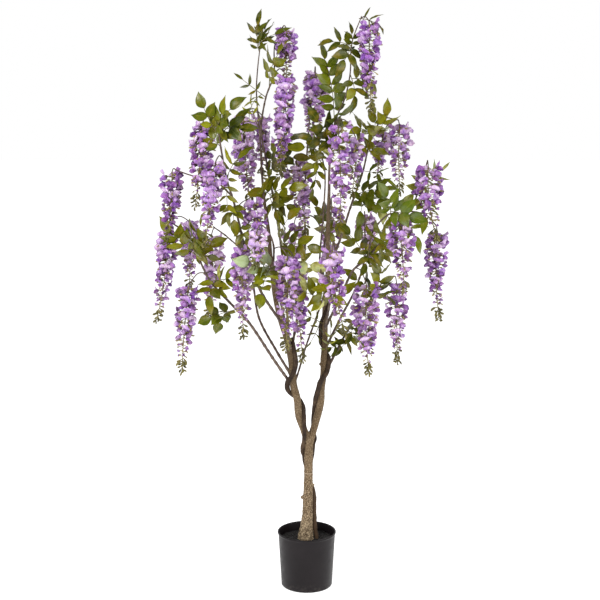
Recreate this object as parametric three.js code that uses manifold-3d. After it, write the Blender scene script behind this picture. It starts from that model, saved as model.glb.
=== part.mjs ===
// A wisteria trained as a small tree in a tapered pot, in millimetres, +Z up.
// The origin is the middle of the pot's flat base, and -Y is the front.
//
//   pot, soil        a thin-walled pot and the heavy fill that the plant stands in
//   trunk            flared foot, trunk, two limbs and every twig, grown together as one body
//   twining_vine     a dark stem that leaves the soil beside the trunk and winds up both limbs
//   raceme_NN        hanging flower heads with their stalks, one or two heads on a stalk
//   spray_NN         pinnate leaves on a leaf stem
import * as THREE from "three";
import Module from "manifold-3d";

const wasm = await Module();
wasm.setup();

// ---------------------------------------------------------------- driving dimensions
const CLEAR = 0.3; // gap between pieces that lie against each other

const POT_HEIGHT = 176;
const POT_RIM_RADIUS = 92.5;
const POT_BASE_RADIUS = 80.5;
const POT_WALL = 3.5;
const POT_FLOOR = 6;
const POT_EDGE = 2; // bevel round the base and the lip
const POT_LIP_HEIGHT = 7;
const POT_LIP_OVERHANG = 2;
const POT_FACETS = 28;
const SOIL_TOP = 150;
const SOIL_EDGE = 6; // the fill slopes down by 1 mm over this width beside the wall

const FOOT_BOTTOM = 24; // the trunk's buried end
const FOOT_TOP = 200; // inside the trunk
const FOOT_RADIUS = 12;
const CROWN_AXIS = new THREE.Vector3(-20, 0, 0); // leaves face away from this upright line

// Flower heads: rows of large florets on a slim core, each row turned by half a floret,
// and four long buds round the tip.
const STALK_RADIUS = 1.7;
const CORE_RADIUS = 1.6;
const FLORET_ROW_HEIGHT = 47;
const FLORETS_PER_ROW = 4;
const FLORET_TWIST = Math.PI / 4;
const FLORET_HALF_WIDTH = 17;
const BUD_REACH = 8;
const BUD_LENGTH = 0.7; // as a share of the bare tip
// A floret's corners, each as a share of the head's reach and of the row's height below its middle.
const BANNER = { reach: 0.9, below: -0.45 };
const WING = { reach: 0.92, below: -0.12 };
const KEEL = { reach: 1, below: 0.46 };
const THROAT = { reach: 0.62, below: 0 };

const LEAF_STEM_RADIUS = 1.8;
const LEAF_STEM_LENGTH = 14;
const SHORTEST_LEAF = 96;
const LONG_LEAF = 140; // a leaf this long has three pairs of leaflets, a shorter one two
const RIB_RADIUS = 1;
const FIRST_PAIR = 14; // no leaflets nearer the fork than this
const DROOP = 0.3; // how far the rib falls over the leaflets, as a share of the leaf
const LEAFLET_LENGTH = 56;
const LEAFLET_WIDTH = 27;
const LEAFLET_SPACING = 26;
const LEAFLET_FOLD = 3; // how far a leaflet's sides stand above its midrib
const LEAFLET_ROOT = 5; // length of rib that a pair grows from
const FIRST_LEAFLET = 0.82; // the first pair's length, as a share of a full leaflet's
const LATER_LEAFLET = 0.95;
// A side leaflet's corners: shares of its length along and away from the rib, and how much of
// its half width is added along the rib.
const REAR_CORNER = { along: 0.2, away: 0.42, wide: -0.75 };
const FORE_CORNER = { along: 0.2, away: 0.3, wide: 0.85 };
const SIDE_TIP = { along: 0.5, away: 0.84, fall: 0.1 };
const END_TIP = { along: 0.95, fall: 0.12 };
const END_BULGE = 0.42; // where the end leaflet is widest

// ---------------------------------------------------------------- the plant's layout
// Branches, from their foot up: [x, y, z, radius] along the centre line.
const TRUNK_AND_LEFT_LIMB = [
  [-4, 0, SOIL_TOP + CLEAR, 25], [-2, 0, 180, 21], [2, 0, 225, 17.4], [3.4, 0, 275, 16.2], [5, 0, 345, 14.6],
  [6, 0, 410, 13.6], [5, 0, 450, 13.8], [-7, -2, 500, 12], [-24, -6, 550, 12], [-30, -10, 605, 12],
  [-42, -12, 655, 11.5], [-45, -12, 705, 11], [-51, -8, 750, 11], [-63, 0, 800, 10.5], [-83, 8, 860, 9],
  [-99, 15, 930, 7.5], [-111, 22, 1035, 6.5], [-118, 28, 1125, 5.8], [-129, 35, 1205, 4.8],
  [-137, 39, 1290, 3.5], [-143, 40, 1405, 2.6], [-149, 38, 1480, 2.3], [-153, 34, 1555, 2],
  [-148, 30, 1625, 1.8], [-141, 24, 1680, 1.5],
];
const RIGHT_LIMB = [
  [6, 0, 435, 9], [14, 2, 480, 11.3], [28, 8, 530, 12], [43, 12, 590, 12], [45, 12, 635, 11.8],
  [52, 8, 685, 10.5], [52, 4, 730, 10.5], [55, 0, 785, 9.5], [55, -5, 855, 9.5], [58, -10, 925, 9],
  [64, -14, 1015, 7.5], [63, -16, 1090, 6.8], [64, -20, 1180, 5.8], [66, -25, 1255, 4.5],
  [67, -28, 1330, 3.4], [78, -28, 1435, 2.7], [92, -27, 1485, 2.4], [112, -25, 1530, 2.2],
  [127, -21, 1600, 2], [132, -18, 1690, 1.8], [160, -18, 1768, 1.4],
];
// Twigs: [first radius, last radius, [x, y, z] along the centre line].
const TWIGS = {
  low_left: [5, 2.2, [[-45, -12, 650], [-100, -35, 735], [-175, -75, 860], [-235, -100, 930],
    [-290, -90, 990], [-335, -30, 1065], [-368, -12, 1125], [-415, 15, 1155]]],
  back_left: [4.5, 2, [[-50, -10, 685], [-95, 15, 755], [-150, 80, 845], [-170, 135, 940],
    [-190, 155, 1030], [-250, 175, 1090], [-300, 190, 1125]]],
  mid_left: [4.5, 2, [[-75, 5, 840], [-140, -40, 950], [-180, -100, 1070], [-210, -130, 1210],
    [-235, -145, 1300], [-250, -145, 1385], [-260, -140, 1440], [-292, -124, 1484]]],
  far_left: [2.6, 1.8, [[-222, -139, 1250], [-270, -130, 1290], [-345, -85, 1305], [-392, -62, 1320]]],
  inner_left: [4.2, 1.6, [[-55, 0, 775], [-70, 50, 990], [-95, 70, 1175], [-125, 62, 1340],
    [-140, 60, 1435], [-125, 30, 1530], [-100, 20, 1600], [-98, 50, 1685], [-74, 24, 1738]]],
  top_left_back: [2.4, 1.6, [[-140, 60, 1430], [-150, 80, 1485], [-188, 95, 1488]]],
  front_left: [4.2, 2, [[-50, -10, 765], [-75, -70, 900], [-98, -125, 1020], [-98, -180, 1105],
    [-112, -210, 1150], [-128, -226, 1170]]],
  back_mid: [4.4, 1.8, [[-50, -5, 755], [-35, 50, 825], [-15, 110, 940], [-5, 165, 1085],
    [-8, 158, 1200], [0, 165, 1350], [10, 165, 1480], [22, 150, 1590], [25, 115, 1624]]],
  front_right: [4, 2, [[55, -5, 825], [68, -75, 920], [80, -160, 1030], [80, -190, 1090],
    [74, -228, 1126]]],
  mid_right: [4.4, 2, [[55, -5, 830], [95, -45, 920], [135, -95, 1020], [175, -130, 1065],
    [190, -165, 1145], [228, -190, 1195], [258, -206, 1204]]],
  low_right: [4.4, 2, [[50, 8, 670], [95, 35, 755], [140, 75, 825], [205, 115, 890], [245, 122, 965],
    [278, 121, 975]]],
  back_right: [4.2, 2, [[55, 2, 760], [105, 60, 850], [155, 120, 935], [185, 150, 1030], [185, 160, 1110],
    [186, 208, 1172]]],
  high_right: [4.2, 1.8, [[65, -14, 1020], [100, 35, 1095], [135, 85, 1195], [175, 140, 1300],
    [200, 165, 1400], [238, 168, 1466], [282, 152, 1464]]],
  inner_right: [3.4, 1.8, [[60, -10, 935], [40, 35, 1030], [50, 60, 1165], [55, 52, 1305], [35, 40, 1380]]],
  far_right: [3.4, 2, [[175, -130, 1065], [250, -100, 1140], [310, -50, 1200], [345, -30, 1290],
    [355, -62, 1340]]],
  far_right_low: [2.4, 1.8, [[308, -52, 1196], [355, -45, 1185], [384, -57, 1156]]],
  back_high: [4, 2, [[60, -8, 915], [50, 130, 1010], [60, 190, 1090], [75, 205, 1190], [80, 258, 1212]]],
  back_top: [2.8, 1.8, [[61, 192, 1095], [20, 215, 1155], [-32, 215, 1152]]],
};
const KNOTS = [[-13, -6, 288, 6.5], [18, -4, 328, 5.5], [43, 6, 715, 6]]; // [x, y, z, radius]

// The vine rises from its buried foot by [x, y, z], then winds up the trunk and both limbs by
// [height, turns about the stem that carries it, how far it hangs clear of the bark if it does];
// 0 turns is the right (+X), 0.25 the back.
const VINE_RADIUS = 6.8;
const VINE_LEFT_TIP = 5.4; // radius
const VINE_FORK_RADIUS = 6.2;
const VINE_RIGHT_TIP = 4.6;
const VINE_SLACK = 1.2; // between the vine and the bark that it lies on
const VINE_STEP = 0.2; // turns; a wider step gets a point halfway
const LIMBS_PART = 470; // height from which the vine's right arm follows the right limb
const VINE_RISE = [[32, 3, 60], [32, 3, SOIL_TOP], [27, 5, 185], [25.3, 8, 240]];
const VINE_LEFT = [
  [290, 0.08], [318, 0.155], [345, 0.24], [395, 0.35], [421, 0.4], [438, 0.49], [455, 0.58], [475, 0.67],
  [500, 0.745], [530, 0.84], [575, 1], [595, 1.13], [615, 1.34], [635, 1.5, 5],
  [658, 1.54, 4], [690, 1.75], [725, 1.94], [800, 2.06],
];
const VINE_RIGHT = [
  [350, 0.24], [385, 0.2], [425, 0.14], [460, 0.03], [475, 0.11], [505, 0.26], [545, 0.36],
  [600, 0.5], [620, 0.6], [662, 0.69], [695, 0.87], [730, 1.02], [762, 1.25], [790, 1.5],
  [840, 1.54], [885, 1.75], [920, 1.95], [955, 2.02],
];

// Flower heads: [x, y, z of the head's top, length, width, how far its tip hangs to +X].
const RACEMES = {
  raceme_01: [[-61, 5, 1728, 145, 76, 0]],
  raceme_02: [[-62, -50, 1595, 300, 78, -20]],
  raceme_03: [[-305, -105, 1458, 245, 84, -25]],
  raceme_04: [[-195, 95, 1468, 270, 82, 20], [-138, 145, 1475, 180, 56, -5]],
  raceme_05: [[182, -24, 1752, 262, 80, 8]],
  raceme_06: [[25, 98, 1605, 240, 86, -15]],
  raceme_07: [[290, 150, 1445, 210, 94, 5], [245, 215, 1425, 150, 66, -20]],
  raceme_08: [[90, -92, 1452, 318, 82, 8], [145, 0, 1415, 180, 58, -10]],
  raceme_09: [[-402, -60, 1312, 215, 80, -20]],
  raceme_10: [[-262, -195, 1350, 249, 80, -35]],
  raceme_11: [[-430, 20, 1130, 285, 78, -38], [-365, 85, 1150, 215, 70, -5]],
  raceme_12: [[-358, -60, 970, 265, 86, -25]],
  raceme_13: [[-158, -110, 1225, 160, 80, 0]],
  raceme_14: [[-145, -232, 1150, 100, 66, -5]],
  raceme_15: [[-195, -165, 1095, 265, 80, 5]],
  raceme_16: [[-58, -203, 1080, 280, 82, -5], [-22, -110, 1020, 270, 58, 10]],
  raceme_17: [[-35, 95, 1340, 240, 86, 15]],
  raceme_18: [[355, -100, 1332, 220, 100, 30]],
  raceme_19: [[390, -60, 1130, 265, 78, 10]],
  raceme_20: [[265, -210, 1180, 205, 90, 15]],
  raceme_21: [[285, 120, 950, 255, 80, 5]],
  raceme_22: [[175, -130, 985, 275, 98, 10]],
  raceme_23: [[70, -240, 1105, 250, 80, 40]],
  raceme_24: [[188, 225, 1155, 190, 74, 45]],
  raceme_25: [[-305, 190, 1100, 275, 84, -15]],
  raceme_26: [[82, 275, 1190, 280, 84, 0]],
  raceme_27: [[-40, 215, 1130, 280, 84, 5]],
};

// Leaf sprays: [x, y, z of the stem's foot on a twig], then from the stem's fork to each leaf's tip.
const SPRAYS = {
  spray_01: [[-142, 25, 1672], [-20, -15, 95], [55, -75, 55]],
  spray_02: [[-124, 30, 1532], [-60, -25, 45], [-45, -70, -35]],
  spray_03: [[-114, 26, 1561], [5, -75, 110]],
  spray_04: [[-257, -141, 1425], [-50, -40, 85], [40, -80, 85], [105, -35, 15]],
  spray_05: [[133, -18, 1692], [-20, -65, -60], [-80, -15, 30]],
  spray_06: [[81, -28, 1447], [-10, -15, 224], [30, -65, 35]],
  spray_07: [[127, -21, 1600], [25, -45, -75], [115, 115, 0]],
  spray_08: [[72, -28, 1382], [-30, -65, 95], [-65, -25, 30]],
  spray_09: [[202, 165, 1403], [65, -75, 70], [-80, -60, 65], [15, 25, 110]],
  spray_10: [[38, 42, 1368], [-35, -60, 25], [10, -20, -145]],
  spray_11: [[-121, 63, 1319], [55, -45, 110], [85, -75, 45]],
  spray_12: [[-105, 67, 1231], [-50, -65, 40], [80, -75, 45], [15, -65, -70]],
  spray_13: [[-235, -145, 1300], [30, -40, 65], [-15, -50, -135]],
  spray_14: [[-330, -37, 1056], [-90, -65, 85], [0, -125, 110], [65, -25, 50]],
  spray_15: [[-81, 59, 1074], [0, -90, 110], [100, -85, 10]],
  spray_16: [[149, 105, 1233], [95, -65, 40], [125, -85, -55], [20, -95, -65]],
  spray_17: [[239, -196, 1198], [-5, -55, 50], [65, -40, -5]],
  spray_18: [[337, -34, 1270], [75, -15, 55], [-45, -65, -45]],
  spray_19: [[172, -127, 1062], [-50, -35, 95], [85, -55, 15]],
  spray_20: [[202, 113, 887], [55, -60, 135], [-40, -65, 105]],
  spray_21: [[68, -77, 923], [-85, -110, 60], [55, -55, 40]],
  spray_22: [[55, -4, 841], [-60, -60, 45], [-25, -65, -55]],
  spray_23: [[-98, -135, 1035], [-60, -100, 35], [-35, -150, -35]],
  spray_24: [[-289, -90, 989], [45, -20, 10], [-30, -65, -50]],
  spray_25: [[-212, -91, 904], [-75, -30, -15], [-40, -80, -15]],
  spray_26: [[129, 66, 808], [50, -70, -10], [-40, -50, -70]],
  spray_27: [[-190, 155, 1030], [-15, 100, 70], [60, 90, 40]],
  spray_28: [[60, 190, 1090], [-10, -20, 125], [100, 10, 5]],
  spray_29: [[185, 150, 1030], [95, 30, 30], [60, -60, 70]],
};

// ---------------------------------------------------------------- materials
function finish(color, roughness, metalness = 0) {
  return new THREE.MeshStandardMaterial({ color, roughness, metalness, flatShading: true });
}
const POT_BLACK = finish(0x1c1c1e, 0.4);
const SOIL_BLACK = finish(0x14120f, 0.9);
const BARK = finish(0x9a8468, 0.85);
const VINE_BARK = finish(0x4e3a28, 0.8);
const PETAL = finish(0xa88ccc, 0.6);
const LEAF = finish(0x5c6e2c, 0.5);

// ---------------------------------------------------------------- geometry helpers
// A closed surface under construction: points, and triangles that face outwards.
class Skin {
  points = [];
  faces = [];

  point(v) {
    this.points.push(v.x, v.y, v.z);
    return this.points.length / 3 - 1;
  }

  // A flat or slightly bent polygon, listed anticlockwise from outside.
  face(...corners) {
    for (let i = 2; i < corners.length; i += 1) {
      this.faces.push(corners[0], corners[i - 1], corners[i]);
    }
  }

  solid() {
    const vertProperties = Float32Array.from(this.points);
    const triVerts = Uint32Array.from(this.faces);
    return new wasm.Manifold(new wasm.Mesh({ numProp: 3, vertProperties, triVerts }));
  }
}

const vec = ([x, y, z]) => new THREE.Vector3(x, y, z);
const mix = THREE.MathUtils.lerp;

// A number from 0 to 1 that depends only on its seed.
function chance(seed) {
  const wave = Math.sin(seed * 127.1 + 11.7) * 43758.5453;
  return wave - Math.floor(wave);
}

// Directions along a line of centres, and two directions across it that turn as little as they can.
function framesAlong(centres) {
  const last = centres.length - 1;
  let across = new THREE.Vector3(1, 0, 0);
  return centres.map((centre, i) => {
    const along = centres[Math.min(i + 1, last)].clone().sub(centres[Math.max(i - 1, 0)]).normalize();
    if (i === 0 && Math.abs(along.x) > 0.8) across.set(0, 1, 0);
    across = across.clone().addScaledVector(along, -across.dot(along)).normalize();
    return { centre, along, across, side: along.clone().cross(across) };
  });
}

function onFrame(frame, angle, radius, ahead = 0) {
  return frame.centre.clone()
    .addScaledVector(frame.across, Math.cos(angle) * radius)
    .addScaledVector(frame.side, Math.sin(angle) * radius)
    .addScaledVector(frame.along, ahead);
}

function addRing(skin, frame, radius, sides, turn = 0) {
  return Array.from({ length: sides }, (_, k) => (
    skin.point(onFrame(frame, turn + (k / sides) * Math.PI * 2, radius))
  ));
}

function joinRings(skin, from, to) {
  from.forEach((corner, k) => {
    const next = (k + 1) % from.length;
    skin.face(corner, from[next], to[next], to[k]);
  });
}

// A tube through [x, y, z, radius] points, with flat ends, grown on all sides by an allowance.
function tube(line, sides, allowance = 0) {
  const curve = new THREE.CatmullRomCurve3(line.map(vec), false, "centripetal");
  const centres = line.map((_, i) => curve.getPoint(i / (line.length - 1)));
  const last = centres.length - 1;
  const skin = new Skin();
  const rings = framesAlong(centres).map((frame, i) => {
    const end = Number(i === last) - Number(i === 0);
    frame.centre.addScaledVector(frame.along, end * allowance);
    return addRing(skin, frame, line[i][3] + allowance, sides);
  });
  for (let i = 0; i < last; i += 1) joinRings(skin, rings[i], rings[i + 1]);
  skin.face(...rings[0].slice().reverse());
  skin.face(...rings[last]);
  return skin.solid();
}

function lathe(profile, facets) {
  const turned = new THREE.LatheGeometry(profile.map(([r, z]) => new THREE.Vector2(r, z)), facets);
  turned.rotateX(Math.PI / 2);
  return weld(turned);
}

// Joins the shared vertices of a three.js geometry into a solid.
function weld(geometry) {
  const position = geometry.getAttribute("position");
  const indexOf = new Map();
  const skin = new Skin();
  const merged = Array.from({ length: position.count }, (_, i) => {
    const v = new THREE.Vector3().fromBufferAttribute(position, i);
    const key = v.toArray().map((c) => Math.round(c * 1e4)).join(" ");
    if (!indexOf.has(key)) indexOf.set(key, skin.point(v));
    return indexOf.get(key);
  });
  const index = geometry.getIndex();
  const order = index ? Array.from(index.array) : merged.map((_, i) => i);
  for (let i = 0; i < order.length; i += 3) {
    const [a, b, c] = [merged[order[i]], merged[order[i + 1]], merged[order[i + 2]]];
    if (a !== b && b !== c && c !== a) skin.face(a, b, c);
  }
  return skin.solid();
}

const fuse = (solids) => solids.reduce((whole, piece) => whole.add(piece));

// The biggest of the bodies that a cut leaves.
function biggest(solid) {
  return solid.decompose().sort((a, b) => b.volume() - a.volume())[0];
}

function named(name, solid, material) {
  const { vertProperties, triVerts } = solid.getMesh();
  const geometry = new THREE.BufferGeometry();
  geometry.setAttribute("position", new THREE.BufferAttribute(vertProperties, 3));
  geometry.setIndex(new THREE.BufferAttribute(triVerts, 1));
  geometry.computeVertexNormals();
  const mesh = new THREE.Mesh(geometry, material);
  mesh.name = name;
  return mesh;
}

// ---------------------------------------------------------------- pot
const potOuter = (z) => mix(POT_BASE_RADIUS, POT_RIM_RADIUS - POT_LIP_OVERHANG, z / POT_HEIGHT);

function makePot() {
  const lipFoot = POT_HEIGHT - POT_LIP_HEIGHT;
  const outside = [
    [0, 0],
    [POT_BASE_RADIUS - POT_EDGE, 0],
    [potOuter(POT_EDGE), POT_EDGE],
    [potOuter(lipFoot), lipFoot],
    [POT_RIM_RADIUS, lipFoot + POT_EDGE],
    [POT_RIM_RADIUS, POT_HEIGHT - POT_EDGE],
    [POT_RIM_RADIUS - POT_EDGE, POT_HEIGHT],
  ];
  const inside = [
    [potOuter(POT_HEIGHT) - POT_WALL, POT_HEIGHT],
    [potOuter(POT_FLOOR) - POT_WALL, POT_FLOOR],
    [0, POT_FLOOR],
  ];
  return lathe([...outside, ...inside], POT_FACETS);
}

function makeSoil(standing) {
  const inner = (z) => potOuter(z) - POT_WALL - 3 * CLEAR;
  const fill = lathe([
    [0, POT_FLOOR + CLEAR],
    [inner(POT_FLOOR), POT_FLOOR + CLEAR],
    [inner(SOIL_TOP), SOIL_TOP - 1],
    [inner(SOIL_TOP) - SOIL_EDGE, SOIL_TOP],
    [0, SOIL_TOP],
  ], POT_FACETS);
  return fill.subtract(standing);
}

// ---------------------------------------------------------------- wood
const twigLine = ([thick, thin, points]) => points.map(([x, y, z], i) => (
  [x, y, z, mix(thick, thin, i / (points.length - 1))]
));
const BRANCHES = [TRUNK_AND_LEFT_LIMB, RIGHT_LIMB, ...Object.values(TWIGS).map(twigLine)];

function makeWood(allowance) {
  const footLine = [[-2, 0, FOOT_BOTTOM, FOOT_RADIUS], [0, 0, FOOT_TOP, FOOT_RADIUS]];
  const knots = KNOTS.map(([x, y, z, radius]) => {
    const knot = new THREE.IcosahedronGeometry(radius + allowance, 0);
    knot.translate(x, y, z);
    return weld(knot);
  });
  return fuse([
    tube(footLine, 8, allowance),
    tube(TRUNK_AND_LEFT_LIMB, 8, allowance),
    tube(RIGHT_LIMB, 7, allowance),
    ...Object.values(TWIGS).map((twig) => tube(twigLine(twig), 4, allowance)),
    ...knots,
  ]);
}

// The point of the wood's centre lines that lies nearest, with the radius there.
function nearestWood(place) {
  let best = { distance: Infinity };
  for (const line of BRANCHES) {
    for (let i = 1; i < line.length; i += 1) {
      const span = new THREE.Line3(vec(line[i - 1]), vec(line[i]));
      const share = span.closestPointToPointParameter(place, true);
      const point = span.at(share, new THREE.Vector3());
      const distance = point.distanceTo(place);
      const radius = mix(line[i - 1][3], line[i][3], share);
      if (distance < best.distance) best = { distance, point, radius };
    }
  }
  return best;
}

// The centre and radius of a branch at a height.
function atHeight(line, height) {
  const i = Math.max(1, line.findIndex(([, , z]) => z >= height));
  const [low, high] = [line[i - 1], line[i]];
  const share = (height - low[2]) / (high[2] - low[2]);
  return low.map((value, axis) => mix(value, high[axis], share));
}

// ---------------------------------------------------------------- twining vine
// A line wound round a branch, with a point added between any two that are far apart in angle.
function wound(host, turns, thick, thin) {
  const steps = turns.flatMap(([height, turn, clear], i) => {
    const [before, turnBefore] = turns[Math.max(i - 1, 0)];
    const between = [(height + before) / 2, (turn + turnBefore) / 2];
    const step = [height, turn, clear];
    return Math.abs(turn - turnBefore) > VINE_STEP ? [between, step] : [step];
  });
  return steps.map(([height, turn, clear = 0], i) => {
    const radius = mix(thick, thin, i / (steps.length - 1));
    const [x, y, z, hostRadius] = atHeight(host, height);
    const reach = hostRadius + radius + VINE_SLACK + clear;
    const angle = turn * Math.PI * 2;
    return [x + Math.cos(angle) * reach, y + Math.sin(angle) * reach, z, radius];
  });
}

function makeVine(allowance) {
  const rise = VINE_RISE.map((point) => [...point, VINE_RADIUS]);
  const left = [...rise, ...wound(TRUNK_AND_LEFT_LIMB, VINE_LEFT, VINE_RADIUS, VINE_LEFT_TIP)];
  const onTrunk = VINE_RIGHT.filter(([height]) => height < LIMBS_PART);
  const onLimb = VINE_RIGHT.filter(([height]) => height >= LIMBS_PART);
  const right = [
    ...wound(TRUNK_AND_LEFT_LIMB, onTrunk, VINE_FORK_RADIUS, VINE_FORK_RADIUS),
    ...wound(RIGHT_LIMB, onLimb, VINE_FORK_RADIUS, VINE_RIGHT_TIP),
  ];
  return fuse([tube(left, 5, allowance), tube(right, 5, allowance)]);
}

// ---------------------------------------------------------------- racemes
// One cell of the head's core, raised to a floret: a banner above, two wings, a keel, and the throat.
function raiseFloret(skin, root, frame, angle, reach, height) {
  const widest = FLORET_TWIST * 0.84;
  const spread = Math.min(widest, Math.asin(Math.min(1, FLORET_HALF_WIDTH / reach)));
  const slant = FLORET_TWIST * 0.4;
  const corner = (turn, share) => (
    skin.point(onFrame(frame, angle + turn, reach * share.reach, height * share.below))
  );
  const petals = [corner(-slant, BANNER), corner(spread, WING), corner(slant, KEEL), corner(-spread, WING)];
  const throat = corner(0, THROAT);
  root.forEach((rootCorner, k) => {
    const nextCorner = root[(k + 1) % root.length];
    const nextPetal = petals[(k + 1) % petals.length];
    skin.face(rootCorner, nextCorner, petals[k]);
    skin.face(petals[k], nextCorner, nextPetal);
    skin.face(petals[k], nextPetal, throat);
  });
}

function raiseBud(skin, root, frame, angle, reach, height) {
  const tip = skin.point(onFrame(frame, angle, reach, 0.45 * height));
  root.forEach((corner, k) => skin.face(corner, root[(k + 1) % root.length], tip));
}

// How wide the head is at a share of the way down its open flowers, from 0 to 1.
function headWidth(share) {
  const shoulder = 0.25;
  if (share < shoulder) return mix(0.84, 1, share / shoulder);
  return mix(1, 0.4, ((share - shoulder) / (1 - shoulder)) ** 1.3);
}

// The highest point of a stalk between its twig and the head's top.
function archOver(from, top) {
  const arch = from.clone().lerp(top, 0.5);
  arch.z += 6 + from.distanceTo(top) * 0.15;
  return arch;
}

// A head hangs from its top; its stalk comes from the given point on a twig.
function makeHead([x, y, z, length, width, leanX], from, seed) {
  const top = new THREE.Vector3(x, y, z);
  const leanY = (chance(seed) - 0.5) * 20;
  const sway = (chance(seed + 0.5) - 0.5) * 12;
  const hang = (down) => {
    const share = down / length;
    const bow = Math.sin(share * Math.PI) * sway;
    return new THREE.Vector3(x + leanX * share ** 1.5 + bow, y + leanY * share, z - down);
  };
  const tail = THREE.MathUtils.clamp(length * 0.18, 25, 45);
  const bloom = length - tail;
  const rows = Math.max(3, Math.round(bloom / FLORET_ROW_HEIGHT));
  const rowTop = (i) => bloom * (1 - (1 - i / rows) ** 1.2);
  const depths = [];
  for (let i = 0; i <= rows; i += 1) depths.push(rowTop(i));
  depths.push(bloom + tail * BUD_LENGTH);

  const frames = framesAlong([from, archOver(from, top), ...depths.map(hang), hang(length)]);
  const skin = new Skin();
  const stalk = frames.slice(0, 2).map((frame) => addRing(skin, frame, STALK_RADIUS, FLORETS_PER_ROW));
  joinRings(skin, stalk[0], stalk[1]);
  skin.face(...stalk[0].slice().reverse());

  const reachAt = (share) => headWidth(share) * width / 2;
  const cores = depths.map((down, i) => {
    const core = CORE_RADIUS + (i <= rows ? reachAt(i / rows) * 0.1 : 0);
    return addRing(skin, frames[i + 2], core, FLORETS_PER_ROW, i * FLORET_TWIST);
  });
  joinRings(skin, stalk[1], cores[0]);
  for (let i = 0; i < cores.length - 1; i += 1) {
    const height = depths[i + 1] - depths[i];
    const middle = { ...frames[i + 2], centre: hang(depths[i] + height / 2) };
    for (let k = 0; k < FLORETS_PER_ROW; k += 1) {
      const next = (k + 1) % FLORETS_PER_ROW;
      const root = [cores[i][k], cores[i][next], cores[i + 1][next], cores[i + 1][k]];
      const angle = (i + 0.5) * FLORET_TWIST + ((k + 0.5) / FLORETS_PER_ROW) * Math.PI * 2;
      const size = 0.9 + 0.1 * chance(seed + i * 7 + k * 3);
      if (i < rows) raiseFloret(skin, root, middle, angle, size * reachAt((i + 0.5) / rows), height);
      else raiseBud(skin, root, middle, angle, size * BUD_REACH, height);
    }
  }
  const tip = skin.point(hang(length));
  const end = cores[cores.length - 1];
  end.forEach((corner, k) => skin.face(corner, end[(k + 1) % end.length], tip));
  return skin.solid();
}

// One head, or several whose stalks part a little way from the twig.
function makeRaceme(heads, seed) {
  const root = nearestWood(vec(heads[0])).point;
  const [first, ...others] = heads;
  const fork = archOver(root, vec(first));
  return fuse([
    makeHead(first, root, seed),
    ...others.map((head, i) => makeHead(head, fork, seed + (i + 1) * 0.37)),
  ]);
}

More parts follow.
